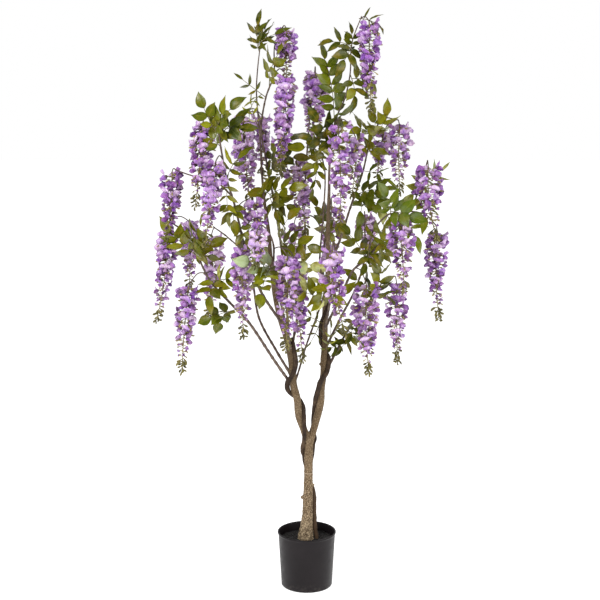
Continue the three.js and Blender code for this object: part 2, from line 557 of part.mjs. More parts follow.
// ---------------------------------------------------------------- leaves
// A pinnate leaf: a slim rib with pairs of leaflets cut down to it and one more at its tip.
// The aim runs from the fork to the leaf's tip; the foot may lie further back than the fork.
function makeLeaf(foot, fork, aim, facing) {
  const size = Math.max(aim.length(), SHORTEST_LEAF);
  const forward = aim.clone().normalize();
  const up = facing.clone().addScaledVector(forward, -facing.dot(forward)).normalize();
  const side = up.clone().cross(forward);
  const pairs = size > LONG_LEAF ? 3 : 2;
  const ribLength = size - LEAFLET_LENGTH * 0.8;
  const spacing = Math.min(LEAFLET_SPACING, (ribLength - FIRST_PAIR) / pairs);
  const shares = Array.from({ length: pairs }, (_, k) => 1 - ((pairs - k) * spacing) / ribLength);
  const scale = spacing / LEAFLET_SPACING;
  const ribPoint = (share) => {
    const fall = DROOP * size * (share - shares[0]) ** 2;
    return fork.clone().addScaledVector(forward, ribLength * share).addScaledVector(up, -fall);
  };
  const skin = new Skin();
  const place = (centre, ahead, aside, above) => skin.point(centre.clone()
    .addScaledVector(forward, ahead).addScaledVector(side, aside).addScaledVector(up, above));

  // The rib's points at one place; leaflets grow between the rear and the front side points.
  const station = (centre, half, radius = RIB_RADIUS) => {
    const sidePoints = (hand) => (half
      ? [place(centre, -half, hand * radius, 0), place(centre, half, hand * radius, 0)]
      : [place(centre, 0, hand * radius, 0)]);
    return {
      centre,
      top: place(centre, 0, 0, radius),
      bottom: place(centre, 0, 0, -radius),
      left: sidePoints(1),
      right: sidePoints(-1),
    };
  };
  const stations = [station(foot, 0, foot === fork ? RIB_RADIUS : LEAF_STEM_RADIUS)];
  shares.forEach((share) => stations.push(station(ribPoint(share), LEAFLET_ROOT / 2)));
  stations.push(station(ribPoint(1), 0));
  for (let k = 1; k < stations.length; k += 1) {
    const [rear, fore] = [stations[k - 1], stations[k]];
    const [rearLeft, rearRight] = [rear.left.at(-1), rear.right.at(-1)];
    skin.face(rear.top, fore.top, fore.left[0], rearLeft);
    skin.face(rear.top, rearRight, fore.right[0], fore.top);
    skin.face(rear.bottom, rearLeft, fore.left[0], fore.bottom);
    skin.face(rear.bottom, fore.bottom, fore.right[0], rearRight);
  }
  const [start, end] = [stations[0], stations.at(-1)];
  skin.face(start.top, start.left[0], start.bottom, start.right[0]);

  const blade = (rib, outline) => {
    for (let i = 1; i < outline.length; i += 1) {
      skin.face(rib.top, outline[i - 1], outline[i]);
      skin.face(rib.bottom, outline[i], outline[i - 1]);
    }
  };
  const half = (LEAFLET_WIDTH / 2) * scale;
  stations.slice(1, -1).forEach((rib, k) => {
    const long = LEAFLET_LENGTH * scale * (k === 0 ? FIRST_LEAFLET : LATER_LEAFLET);
    const corner = ({ along, away, wide }, hand) => (
      place(rib.centre, along * long + wide * half, hand * away * long, LEAFLET_FOLD)
    );
    for (const hand of [1, -1]) {
      const rearSide = corner(REAR_CORNER, hand);
      const reach = hand * SIDE_TIP.away * long;
      const tip = place(rib.centre, SIDE_TIP.along * long, reach, -SIDE_TIP.fall * long);
      const foreSide = corner(FORE_CORNER, hand);
      const [rearEnd, foreEnd] = hand > 0 ? rib.left : rib.right;
      const outline = [foreEnd, foreSide, tip, rearSide, rearEnd];
      blade(rib, hand > 0 ? outline : outline.reverse());
    }
  });
  const rightSide = place(end.centre, END_BULGE * LEAFLET_LENGTH, -half, LEAFLET_FOLD);
  const endTip = place(end.centre, END_TIP.along * LEAFLET_LENGTH, 0, -END_TIP.fall * LEAFLET_LENGTH);
  const leftSide = place(end.centre, END_BULGE * LEAFLET_LENGTH, half, LEAFLET_FOLD);
  blade(end, [end.right[0], rightSide, endTip, leftSide, end.left[0]]);
  return skin.solid();
}

// Leaves that part at the fork of one short stem; the first carries the stem on to the twig.
function makeSpray([foot, ...aims]) {
  const { point, radius } = nearestWood(vec(foot));
  const first = vec(aims[0]);
  const fork = point.clone().addScaledVector(first.clone().normalize(), radius + LEAF_STEM_LENGTH);
  const outward = fork.clone().sub(CROWN_AXIS).setZ(0).normalize();
  const facing = outward.multiplyScalar(0.5).add(new THREE.Vector3(0, -0.75, 0.35)).normalize();
  return fuse(aims.map((aim, i) => makeLeaf(i === 0 ? point : fork, fork, vec(aim), facing)));
}

// ---------------------------------------------------------------- assembly
const wood = makeWood(0);
const vine = makeVine(0);
const grownWood = makeWood(CLEAR);
const standing = grownWood.add(makeVine(CLEAR));

const plant = new THREE.Group();
plant.add(named("pot", makePot(), POT_BLACK));
plant.add(named("soil", makeSoil(standing), SOIL_BLACK));
plant.add(named("trunk", wood, BARK));
plant.add(named("twining_vine", biggest(vine.subtract(grownWood)), VINE_BARK));
Object.entries(RACEMES).forEach(([name, heads], i) => {
  plant.add(named(name, biggest(makeRaceme(heads, i + 1).subtract(standing)), PETAL));
});
Object.entries(SPRAYS).forEach(([name, spray]) => {
  plant.add(named(name, biggest(makeSpray(spray).subtract(standing)), LEAF));
});

export default plant;
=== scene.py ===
"""The looks of a wisteria in a pot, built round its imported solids.

Lengths are in millimetres until a mesh is written, in metres. +Z is up and -Y is the front.
"""

import math

import bpy
import numpy as np
from mathutils import Matrix, Vector, noise


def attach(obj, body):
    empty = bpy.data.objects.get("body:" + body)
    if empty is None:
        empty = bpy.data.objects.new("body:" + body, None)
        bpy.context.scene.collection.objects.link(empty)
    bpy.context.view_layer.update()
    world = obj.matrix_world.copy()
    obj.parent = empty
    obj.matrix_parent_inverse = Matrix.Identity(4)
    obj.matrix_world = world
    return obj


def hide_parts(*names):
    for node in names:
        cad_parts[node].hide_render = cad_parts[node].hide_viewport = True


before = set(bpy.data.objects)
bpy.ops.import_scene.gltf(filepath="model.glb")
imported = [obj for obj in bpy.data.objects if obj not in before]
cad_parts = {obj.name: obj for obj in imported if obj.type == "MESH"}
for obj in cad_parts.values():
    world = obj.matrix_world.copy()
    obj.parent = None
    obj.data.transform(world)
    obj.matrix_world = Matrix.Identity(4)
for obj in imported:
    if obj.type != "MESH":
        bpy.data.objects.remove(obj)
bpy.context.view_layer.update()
noise.seed_set(1)  # or noise_vector would differ from run to run

MM = 0.001
FULL_TURN = 2 * math.pi
X_AXIS, Y_AXIS = (1, 0, 0), (0, 1, 0)
UP = np.array([0.0, 0.0, 1.0])

# ---------------- layout, nearly as in the solids
SOIL_TOP = 150
POT_HEIGHT = 176
POT_RIM_RADIUS = 92.5
POT_BASE_RADIUS = 80.5
POT_WALL = 3.5
POT_FLOOR = 6
CROWN_AXIS = np.array([-20.0, 0.0, 0.0])

# Branches, from their foot up: [x, y, z, radius] along the centre line.
TRUNK_AND_LEFT_LIMB = [
    [-4, 0, 150, 25], [-2, 0, 180, 21], [2, 0, 225, 17.4], [3.4, 0, 275, 16.2], [5, 0, 345, 14.6],
    [6, 0, 410, 13.6], [5, 0, 450, 13.8], [-7, -2, 500, 12], [-24, -6, 550, 12],
    [-30, -10, 605, 12], [-42, -12, 655, 11.5], [-45, -12, 705, 11], [-51, -8, 750, 11],
    [-63, 0, 800, 10.5], [-83, 8, 860, 9], [-99, 15, 930, 7.5], [-111, 22, 1035, 6.5],
    [-118, 28, 1125, 5.8], [-129, 35, 1205, 4.8], [-137, 39, 1290, 3.5], [-143, 40, 1405, 2.6],
    [-149, 38, 1480, 2.3], [-153, 34, 1555, 2], [-148, 30, 1625, 1.8], [-141, 24, 1680, 1.5],
]
RIGHT_LIMB = [
    [6, 0, 435, 9], [14, 2, 480, 11.3], [28, 8, 530, 12], [43, 12, 590, 12], [45, 12, 635, 11.8],
    [52, 8, 685, 10.5], [52, 4, 730, 10.5], [55, 0, 785, 9.5], [55, -5, 855, 9.5],
    [58, -10, 925, 9], [64, -14, 1015, 7.5], [63, -16, 1090, 6.8], [64, -20, 1180, 5.8],
    [66, -25, 1255, 4.5], [67, -28, 1330, 3.4], [78, -28, 1435, 2.7], [92, -27, 1485, 2.4],
    [112, -25, 1530, 2.2], [127, -21, 1600, 2], [132, -18, 1690, 1.8], [160, -18, 1768, 1.4],
]
# Twigs: first radius, last radius, and [x, y, z] along the centre line.
TWIGS = {
    "low_left": (5, 2.2, [
        [-45, -12, 650], [-100, -35, 735], [-175, -75, 860], [-235, -100, 930], [-290, -90, 990],
        [-335, -30, 1065], [-368, -12, 1125], [-415, 15, 1155]]),
    "back_left": (4.5, 2, [
        [-50, -10, 685], [-95, 15, 755], [-150, 80, 845], [-170, 135, 940], [-190, 155, 1030],
        [-250, 175, 1090], [-300, 190, 1125]]),
    "mid_left": (4.5, 2, [
        [-75, 5, 840], [-140, -40, 950], [-180, -100, 1070], [-210, -130, 1210], [-235, -145, 1300],
        [-250, -145, 1385], [-260, -140, 1440], [-292, -124, 1484]]),
    "far_left": (2.6, 1.8, [
        [-222, -139, 1250], [-270, -130, 1290], [-345, -85, 1305], [-392, -62, 1320]]),
    "inner_left": (4.2, 1.6, [
        [-55, 0, 775], [-70, 50, 990], [-95, 70, 1175], [-125, 62, 1340], [-140, 60, 1435],
        [-125, 30, 1530], [-100, 20, 1600], [-98, 50, 1685], [-74, 24, 1738]]),
    "top_left_back": (2.4, 1.6, [
        [-140, 60, 1430], [-150, 80, 1485], [-188, 95, 1488]]),
    "front_left": (4.2, 2, [
        [-50, -10, 765], [-75, -70, 900], [-98, -125, 1020], [-98, -180, 1105], [-112, -210, 1150],
        [-128, -226, 1170]]),
    "back_mid": (4.4, 1.8, [
        [-50, -5, 755], [-35, 50, 825], [-15, 110, 940], [-5, 165, 1085], [-8, 158, 1200],
        [0, 165, 1350], [10, 165, 1480], [22, 150, 1590], [25, 115, 1624]]),
    "front_right": (4, 2, [
        [55, -5, 825], [68, -75, 920], [80, -160, 1030], [80, -190, 1090], [74, -228, 1126]]),
    "mid_right": (4.4, 2, [
        [55, -5, 830], [95, -45, 920], [135, -95, 1020], [175, -130, 1065], [190, -165, 1145],
        [228, -190, 1195], [258, -206, 1204]]),
    "low_right": (4.4, 2, [
        [50, 8, 670], [95, 35, 755], [140, 75, 825], [205, 115, 890], [245, 122, 965], [278, 121, 975]]),
    "back_right": (4.2, 2, [
        [55, 2, 760], [105, 60, 850], [155, 120, 935], [185, 150, 1030], [185, 160, 1110],
        [186, 208, 1172]]),
    "high_right": (4.2, 1.8, [
        [65, -14, 1020], [100, 35, 1095], [135, 85, 1195], [175, 140, 1300], [200, 165, 1400],
        [238, 168, 1466], [282, 152, 1464]]),
    "inner_right": (3.4, 1.8, [
        [60, -10, 935], [40, 35, 1030], [50, 60, 1165], [55, 52, 1305], [35, 40, 1380]]),
    "far_right": (3.4, 2, [
        [175, -130, 1065], [250, -100, 1140], [310, -50, 1200], [345, -30, 1290], [355, -62, 1340]]),
    "far_right_low": (2.4, 1.8, [
        [308, -52, 1196], [355, -45, 1185], [384, -57, 1156]]),
    "back_high": (4, 2, [
        [60, -8, 915], [50, 130, 1010], [60, 190, 1090], [75, 205, 1190], [80, 258, 1212]]),
    "back_top": (2.8, 1.8, [
        [61, 192, 1095], [20, 215, 1155], [-32, 215, 1152]]),
}
# Only here: a thin twig across the fork, from the left limb to the back of the right one.
CROSSING_TWIG = (3.3, 2.6, [[-40, -8, 652], [-26, 4, 692], [-2, 18, 772], [29, 24, 858],
                            [50, 18, 925], [62, -4, 985]])
KNOTS = [[-11, -6, 288, 8.6], [18.5, -4, 328, 6.2], [43, 6, 715, 6]]  # [x, y, z, radius]
RING_HEIGHT = 367  # of a pale scar round the trunk

# The twining stem rises as [x, y, z] and then goes as [height, turns about the branch that carries
# it, how far it hangs clear, how many times as thick as plain]. 0 turns is +X, 0.25 the back.
VINE_RADIUS = 6.8
VINE_LEFT_TIP = 5.4
VINE_FORK_RADIUS = 6.2
VINE_RIGHT_TIP = 4.6
VINE_SLACK = -0.8  # between the wood's skin and the vine, which is pressed in a little
VINE_STEP = 0.2  # turns; rows further apart get one between them
LIMBS_PART = 470  # the height from which the vine's right stem follows the right limb
VINE_RISE = [[32, 3, 120], [31.5, 3, SOIL_TOP], [26, 5, 185], [24.2, 8, 240]]
VINE_LEFT = [
    [290, 0.08], [318, 0.155], [345, 0.24], [395, 0.35], [421, 0.4], [438, 0.49], [455, 0.58],
    [475, 0.67], [500, 0.745], [530, 0.84], [575, 1], [595, 1.13], [615, 1.34, 0, 1.15],
    [635, 1.5, 2.5, 1.35], [658, 1.54, 1.5, 1.35], [690, 1.75, -1, 1.3], [725, 1.9, -1, 1.35],
    [800, 2.02, -1, 1.3],
]
VINE_RIGHT = [
    [350, 0.24], [385, 0.2], [425, 0.14], [460, 0.03], [475, 0.11], [505, 0.26],
    [545, 0.36, -1, 1.15], [600, 0.5, -2, 1.25], [620, 0.6, -2, 1.35], [662, 0.69, -1, 1.4],
    [695, 0.87, -1, 1.35], [730, 1.02, -1, 1.3], [762, 1.25], [790, 1.5], [840, 1.54],
    [885, 1.75], [920, 1.95], [955, 2.02],
]

# Flower heads: [x, y, z of the head's top, length, width, how far its tip hangs to +X, how much
# lighter its petals are than plain ones, partly painted light for heads that hang in the crown's
# shade, how many florets it has against a plain one].
RACEMES = {
    "01": [[-61, 5, 1728, 145, 76, 0, 0, 1.2]],
    "02": [[-62, -50, 1595, 300, 78, -20, 0, 1]],
    "03": [[-305, -105, 1458, 245, 84, -25, 0.08, 1]],
    "04": [[-195, 95, 1468, 270, 90, 20, 0.42, 1.35], [-138, 145, 1475, 180, 56, -5, 0.48, 1]],
    "05": [[182, -24, 1752, 262, 80, 8, -0.12, 1]],
    "06": [[26, 96, 1605, 240, 96, -15, 0.28, 1.3]],
    "07": [[290, 150, 1445, 210, 94, 5, 0.34, 1], [245, 215, 1425, 150, 66, -20, 0.68, 1]],
    "08": [[90, -92, 1452, 318, 82, 8, 0.12, 0.74], [145, 0, 1415, 180, 58, -10, 0.26, 0.62]],
    "09": [[-402, -60, 1312, 215, 80, -20, 0, 1]],
    "10": [[-262, -195, 1350, 249, 80, -35, 0.1, 1]],
    "11": [[-430, 20, 1130, 285, 78, -38, 0.18, 1], [-365, 85, 1150, 215, 70, -5, 0.42, 1]],
    "12": [[-358, -60, 970, 265, 86, -25, 0, 0.92]],
    "13": [[-158, -110, 1225, 160, 80, 0, 0.16, 1]],
    "14": [[-145, -232, 1150, 100, 66, -5, 0.76, 1]],
    "15": [[-195, -165, 1095, 265, 80, 5, 0.18, 0.9]],
    "16": [[-58, -203, 1080, 280, 82, -5, 0.08, 0.9], [-22, -110, 1020, 270, 58, 10, 0.2, 0.68]],
    "17": [[-33, 92, 1340, 240, 94, 32, 0.42, 1.35]],
    "18": [[355, -100, 1332, 220, 100, 30, -0.04, 1]],
    "19": [[390, -60, 1130, 265, 78, 10, 0.14, 0.88]],
    "20": [[265, -210, 1180, 205, 90, 15, 0, 1]],
    "21": [[285, 120, 950, 255, 80, 5, 0.1, 0.78]],
    "22": [[175, -130, 985, 275, 98, 10, 0.06, 1]],
    "23": [[70, -240, 1105, 250, 80, 40, 0.06, 0.82]],
    "24": [[188, 225, 1155, 190, 74, 45, 0.5, 1.2]],
    "25": [[-305, 190, 1100, 275, 84, -15, 0.36, 1]],
    "26": [[82, 275, 1190, 280, 84, 0, 0.24, 0.76]],
    "27": [[-40, 215, 1130, 280, 84, 5, 0.26, 0.74]],
}
# Leaf sprays: [x, y, z of the stem's foot on a twig], then for each leaf [x, y, z from the stem's
# fork to its tip, shade from dark through olive to pale, how broad its leaflets are against plain
# ones, and how long, if not as long].
SPRAYS = {
    "01": [[-142, 25, 1672], [-20, -15, 95, 0.12, 0.55], [55, -75, 55, 0.15, 0.5]],
    "02": [[-124, 30, 1532], [-60, -25, 45, 0.2, 0.32, 0.6], [-45, -70, -35, 0.26, 0.3, 0.6]],
    "03": [[-114, 26, 1561], [5, -75, 110, 0.42, 1.1]],
    "04": [[-257, -141, 1425], [-50, -40, 85, 0.3, 1.05, 0.85], [40, -80, 85, 0.22, 1.15],
           [105, -35, 15, 0.14, 1.1]],
    "05": [[133, -18, 1692], [-20, -65, -60, 0.2, 1], [-80, -15, 30, 0.16, 0.7]],
    "06": [[81, -28, 1447], [-10, -15, 224, 0.34, 1], [30, -65, 35, 0.16, 1]],
    "07": [[127, -21, 1600], [25, -45, -75, 0.2, 1], [115, 115, 0, 0.4, 0.9]],
    "08": [[72, -28, 1382], [-30, -65, 95, 0.14, 1], [-65, -25, 30, 0.2, 0.9]],
    "09": [[202, 165, 1403], [65, -75, 70, 0.6, 1], [-80, -60, 65, 0.46, 0.9], [15, 25, 110, 0.52, 1]],
    "10": [[38, 42, 1368], [-35, -60, 25, 0.58, 1], [10, -20, -145, 0.3, 0.5, 0.8]],
    "11": [[-121, 63, 1319], [55, -45, 110, 0.16, 1], [85, -75, 45, 0.2, 1]],
    "12": [[-105, 67, 1231], [-50, -65, 40, 0.48, 1.1], [80, -75, 45, 0.54, 1.1],
           [15, -65, -70, 0.42, 1.1]],
    "13": [[-235, -145, 1300], [30, -40, 65, 0.3, 0.7], [-15, -50, -135, 0.44, 0.5, 0.7]],
    "14": [[-330, -37, 1056], [-90, -65, 85, 0.44, 1.1], [0, -125, 110, 0.4, 1.2],
           [65, -25, 50, 0.44, 1.1]],
    "15": [[-81, 59, 1074], [0, -90, 110, 0.4, 1], [100, -85, 10, 0.36, 1.1]],
    "16": [[149, 105, 1233], [95, -65, 40, 0.34, 1.1], [125, -85, -55, 0.46, 1.2],
           [20, -95, -65, 0.38, 1.2]],
    "17": [[239, -196, 1198], [-5, -55, 50, 0.36, 1.1], [65, -40, -5, 0.24, 1.2]],
    "18": [[337, -34, 1270], [75, -15, 55, 0.68, 0.32, 0.9], [-45, -65, -45, 0.68, 1]],
    "19": [[172, -127, 1062], [-50, -35, 95, 0.14, 1], [85, -55, 15, 0.34, 0.5]],
    "20": [[202, 113, 887], [55, -60, 135, 0.34, 1.1], [-40, -65, 105, 0.24, 1]],
    "21": [[68, -77, 923], [-85, -110, 60, 0.58, 1.1], [55, -55, 40, 0.48, 1]],
    "22": [[55, -4, 841], [-60, -60, 45, 0.34, 0.4, 0.7], [-25, -65, -55, 0.26, 0.25, 0.6]],
    "23": [[-98, -135, 1035], [-60, -100, 35, 1.08, 1.3, 0.95], [-35, -150, -35, 0.44, 1.15, 0.8]],
    "24": [[-289, -90, 989], [45, -20, 10, 0.46, 0.6], [-30, -65, -50, 0.34, 1.1]],
    "25": [[-212, -91, 904], [-75, -30, -15, 0.3, 1.2, 0.8], [-40, -80, -15, 0.3, 1.1, 0.7]],
    "26": [[129, 66, 808], [50, -70, -10, 0.22, 1], [-40, -50, -70, 0.14, 0.7]],
    "27": [[-190, 155, 1030], [-15, 100, 70, 0.34, 1], [60, 90, 40, 0.4, 1]],
    "28": [[60, 190, 1090], [-10, -20, 125, 0.3, 1], [100, 10, 5, 0.42, 1]],
    "29": [[185, 150, 1030], [95, 30, 30, 0.36, 1], [60, -60, 70, 0.28, 1]],
}
# How much greener than olive the leaves of a spray are, from 0 to 1.
GREENER = {"04": 0.3, "06": 0.5, "16": 0.6, "17": 0.9, "18": 0.5, "23": 0.2, "25": 0.5}
# Only here: small leaves beside the sprays, each with its own foot and then as a leaf above.
EXTRA_LEAVES = {
    "01": [[-143, 26, 1666, -25, -25, 75, 0.12, 0.55], [-141, 24, 1680, 5, 35, 100, 0.16, 0.45]],
    "02": [[-146, 39, 1441, -40, -40, 85, 0.66, 0.28, 0.7]],
    "04": [[-251, -144, 1391, -65, 15, 55, 0.3, 1], [-255, -142, 1414, 65, -20, 90, 0.24, 0.9]],
    "05": [[131, -18, 1679, 10, -10, 65, 0.14, 0.8], [131, -19, 1664, -30, 30, 30, 0.12, 0.7],
           [152, -18, 1761, 90, -10, -10, 0.2, 0.28]],
    "08": [[71, -28, 1371, 40, -40, 80, 0.14, 0.9]],
    "09": [[193, 158, 1373, -65, -65, 50, 0.45, 1], [190, 155, 1362, 45, -75, 35, 0.42, 1]],
    "10": [[45, 46, 1344, -40, -55, -10, 0.56, 1], [37, 41, 1372, 30, -100, 20, 0.45, 1]],
    "12": [[-113, 65, 1275, -25, -25, 55, 0.3, 0.9], [-119, 64, 1307, 35, -25, 35, 0.22, 0.8],
           [-103, 68, 1219, 60, -50, -15, 0.35, 1]],
    "13": [[-214, -132, 1224, -10, -60, -65, 0.4, 1], [-199, -119, 1159, 25, -40, -60, 0.42, 1]],
    "14": [[-336, -30, 1066, 55, -40, -5, 0.42, 1]],
    "15": [[-76, 55, 1036, 110, -75, 5, 0.82, 1.15], [-73, 53, 1012, 105, -70, -25, 0.76, 0.6]],
    "16": [[163, 123, 1268, -10, -65, 65, 0.3, 1], [176, 141, 1306, 105, -45, -15, 0.42, 0.45]],
    "17": [[283, -73, 1173, 65, -65, -55, 0.6, 0.8]],
    "18": [[329, -39, 1249, 40, -110, -55, 0.44, 0.9]],
    "19": [[180, -142, 1092, -5, -50, -60, 0.16, 0.8], [186, -156, 1125, 50, -75, 45, 0.3, 0.9]],
    "20": [[215, 117, 908, 55, -65, 40, 0.3, 0.9]],
    "21": [[75, -126, 986, -45, -65, -35, 0.42, 1]],
    "22": [[53, 2, 754, 40, -60, 85, 0.34, 0.25, 0.6]],
    "24": [[-265, -94, 963, 20, -65, 65, 0.38, 0.9]],
    "26": [[106, 45, 772, -40, -45, -10, 0.12, 0.9], [149, 80, 834, -5, -70, -35, 0.2, 1]],
}

# ---------------- numbers and directions
def chance(seed):
    """A number from 0 to 1 that depends only on its seed, as in the solids."""
    wave = math.sin(seed * 127.1 + 11.7) * 43758.5453
    return wave - math.floor(wave)


def mix(a, b, share):
    return a + (b - a) * share


def between(random, low, high):
    return mix(low, high, random.random())


def pick(random, models):
    return models[int(random.random() * len(models))]


def unit(v):
    v = np.asarray(v, float)
    return v / np.linalg.norm(v)


def turn_about(axis, angle):
    """The matrix that turns by an angle about an axis."""
    return np.array(Matrix.Rotation(angle, 3, Vector(axis)))


def smooth_line(rows, step):
    """A curve through rows of numbers that start with x, y, z, with new rows about a step apart."""
    rows = np.asarray(rows, float)
    padded = np.vstack([2 * rows[0] - rows[1], rows, 2 * rows[-1] - rows[-2]])
    out = []
    for i in range(1, len(padded) - 2):
        a, b, c, d = padded[i - 1:i + 3]
        count = max(1, round(np.linalg.norm((c - b)[:3]) / step))
        for t in np.arange(count) / count:
            out.append(0.5 * (2 * b + (c - a) * t + (2 * a - 5 * b + 4 * c - d) * t ** 2
                              + (3 * b - a - 3 * c + d) * t ** 3))
    out.append(rows[-1])
    return np.array(out)


def waves_at(point, waves):
    """How high a point lies on waves of (height, waves per mm)."""
    return sum(height * noise.noise(Vector(point * per_mm)) for height, per_mm in waves)


def frames_along(centres):
    """Across and side directions at each centre, which turn as little as they can."""
    along = np.gradient(centres, axis=0)
    along /= np.linalg.norm(along, axis=1)[:, None]
    across = np.array([1.0, 0, 0]) if abs(along[0][0]) < 0.8 else np.array([0, 1.0, 0])
    out = []
    for direction in along:
        across = unit(across - direction * across.dot(direction))
        out.append((across, np.cross(direction, across)))
    return out


# ---------------- shapes
# A shape is points, triangles, a material index for each triangle, and four numbers for each
# point: along and across (where it lies on its petal or leaflet), tint (which is the same all
# over one petal, leaflet or stem) and blotch (1 in the pale middle of a banner petal, on the tops
# of the bark's grains, and on the greenest leaves).
LOOKS = ["along", "across", "tint", "blotch"]
ALONG, ACROSS, TINT, BLOTCH = range(4)


class Shape:
    def __init__(self, points, faces, slot=0):
        self.points = np.asarray(points, float).reshape(-1, 3)
        self.faces = np.asarray(faces, int).reshape(-1, 3)
        self.slots = np.broadcast_to(slot, len(self.faces)).astype(int)
        self.looks = np.zeros((len(self.points), len(LOOKS)))

    def placed(self, matrix, offset, tint=None):
        """A copy moved into place, with its own tint."""
        copy = Shape(self.points @ np.asarray(matrix).T + offset, self.faces, self.slots)
        copy.looks = self.looks.copy()
        if tint is not None:
            copy.looks[:, TINT] = tint
        return copy


def join(shapes):
    starts = np.cumsum([0] + [len(s.points) for s in shapes[:-1]])
    whole = Shape(
        np.concatenate([s.points for s in shapes]),
        np.concatenate([s.faces + start for s, start in zip(shapes, starts)]),
        np.concatenate([s.slots for s in shapes]),
    )
    whole.looks = np.concatenate([s.looks for s in shapes])
    return whole


def grid_faces(rows, columns, closed=False):
    """Triangles of a grid of points; closed joins its last column to its first."""
    r = np.arange(rows - 1)[:, None]
    c = np.arange(columns if closed else columns - 1)[None, :]
    a = r * columns + c
    b = r * columns + (c + 1) % columns
    quads = np.stack([a, b, b + columns, a + columns], axis=-1).reshape(-1, 4)
    return np.concatenate([quads[:, [0, 1, 2]], quads[:, [0, 2, 3]]])


def blade(grid, thickness):
    """A closed thin blade round a grid of points, rows along it and columns across it."""
    rows, columns, _ = grid.shape
    normals = np.cross(np.gradient(grid, axis=1), np.gradient(grid, axis=0))
    normals /= np.maximum(np.linalg.norm(normals, axis=2), 1e-9)[..., None]
    shift = normals * thickness / 2
    points = np.concatenate([(grid + shift).reshape(-1, 3), (grid - shift).reshape(-1, 3)])
    half = rows * columns
    number = np.arange(half).reshape(rows, columns)
    edge = np.concatenate([number[0], number[1:, -1], number[-1, -2::-1], number[-2:0:-1, 0]])
    following = np.roll(edge, -1)
    rim = np.concatenate([
        np.stack([edge, following, following + half], axis=1),
        np.stack([edge, following + half, edge + half], axis=1),
    ])
    top = grid_faces(rows, columns)[:, ::-1]
    shape = Shape(points, np.concatenate([top, top[:, ::-1] + half, rim]))
    shape.looks[:, ALONG] = np.tile(np.repeat(np.linspace(0, 1, rows), columns), 2)
    shape.looks[:, ACROSS] = np.tile(np.linspace(-1, 1, columns), 2 * rows)
    return shape


def blade_axes(rows, columns):
    """From 0 at a petal's or leaflet's foot to 1 at its tip, and from -1 to 1 across it."""
    return np.linspace(0, 1, rows)[:, None], np.linspace(-1, 1, columns)[None, :]


def ringed(rings, first, last, slot=0):
    """A closed form through rings of points, shut by a point at each end."""
    count, sides = len(rings), len(rings[0])
    k = np.arange(sides)
    following = (k + 1) % sides
    top = (count - 1) * sides
    faces = np.concatenate([
        grid_faces(count, sides, closed=True),
        np.stack([following, k, np.full(sides, count * sides)], axis=1),
        np.stack([top + k, top + following, np.full(sides, count * sides + 1)], axis=1),
    ])
    return Shape(np.concatenate([*rings, [first], [last]]), faces, slot)


def tube(line, sides, slot=0, tint=0.0):
    """A closed tube through [x, y, z, radius] rows."""
    line = np.asarray(line, float)
    centres = line[:, :3]
    angles = np.arange(sides) / sides * FULL_TURN
    rings = []
    for centre, radius, (across, side) in zip(centres, line[:, 3], frames_along(centres)):
        ring = np.outer(np.cos(angles), across) + np.outer(np.sin(angles), side)
        rings.append(centre + ring * radius)
    shape = ringed(rings, centres[0], centres[-1], slot)
    shape.looks[:-2, ACROSS] = np.tile(np.cos(angles), len(line))
    shape.looks[:, TINT] = tint
    return shape


def ball(radius, squash, rings, sides):
    """A closed round form about the origin, longer or flatter where squash says."""
    heights = np.linspace(-0.96, 0.96, rings)
    middle = np.zeros(rings)
    line = np.stack([middle, middle, heights, np.sqrt(1 - heights ** 2)], axis=1) * radius
    shape = tube(line, sides)
    shape.points *= squash
    return shape


def make_object(name, shape, materials):
    mesh = bpy.data.meshes.new(name)
    mesh.from_pydata(shape.points * MM, [], shape.faces, shade_flat=False)
    mesh.polygons.foreach_set("material_index", shape.slots)
    for label, values in zip(LOOKS, shape.looks.T):
        mesh.attributes.new(label, "FLOAT", "POINT").data.foreach_set("value", values)
    for material in materials:
        mesh.materials.append(material)
    piece = bpy.data.objects.new(name, mesh)
    bpy.context.scene.collection.objects.link(piece)
    return piece


def add_piece(name, shape, materials, node):
    """A piece that stands for one of the solids."""
    piece = make_object(name, shape, materials)
    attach(piece, "root")
    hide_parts(node)


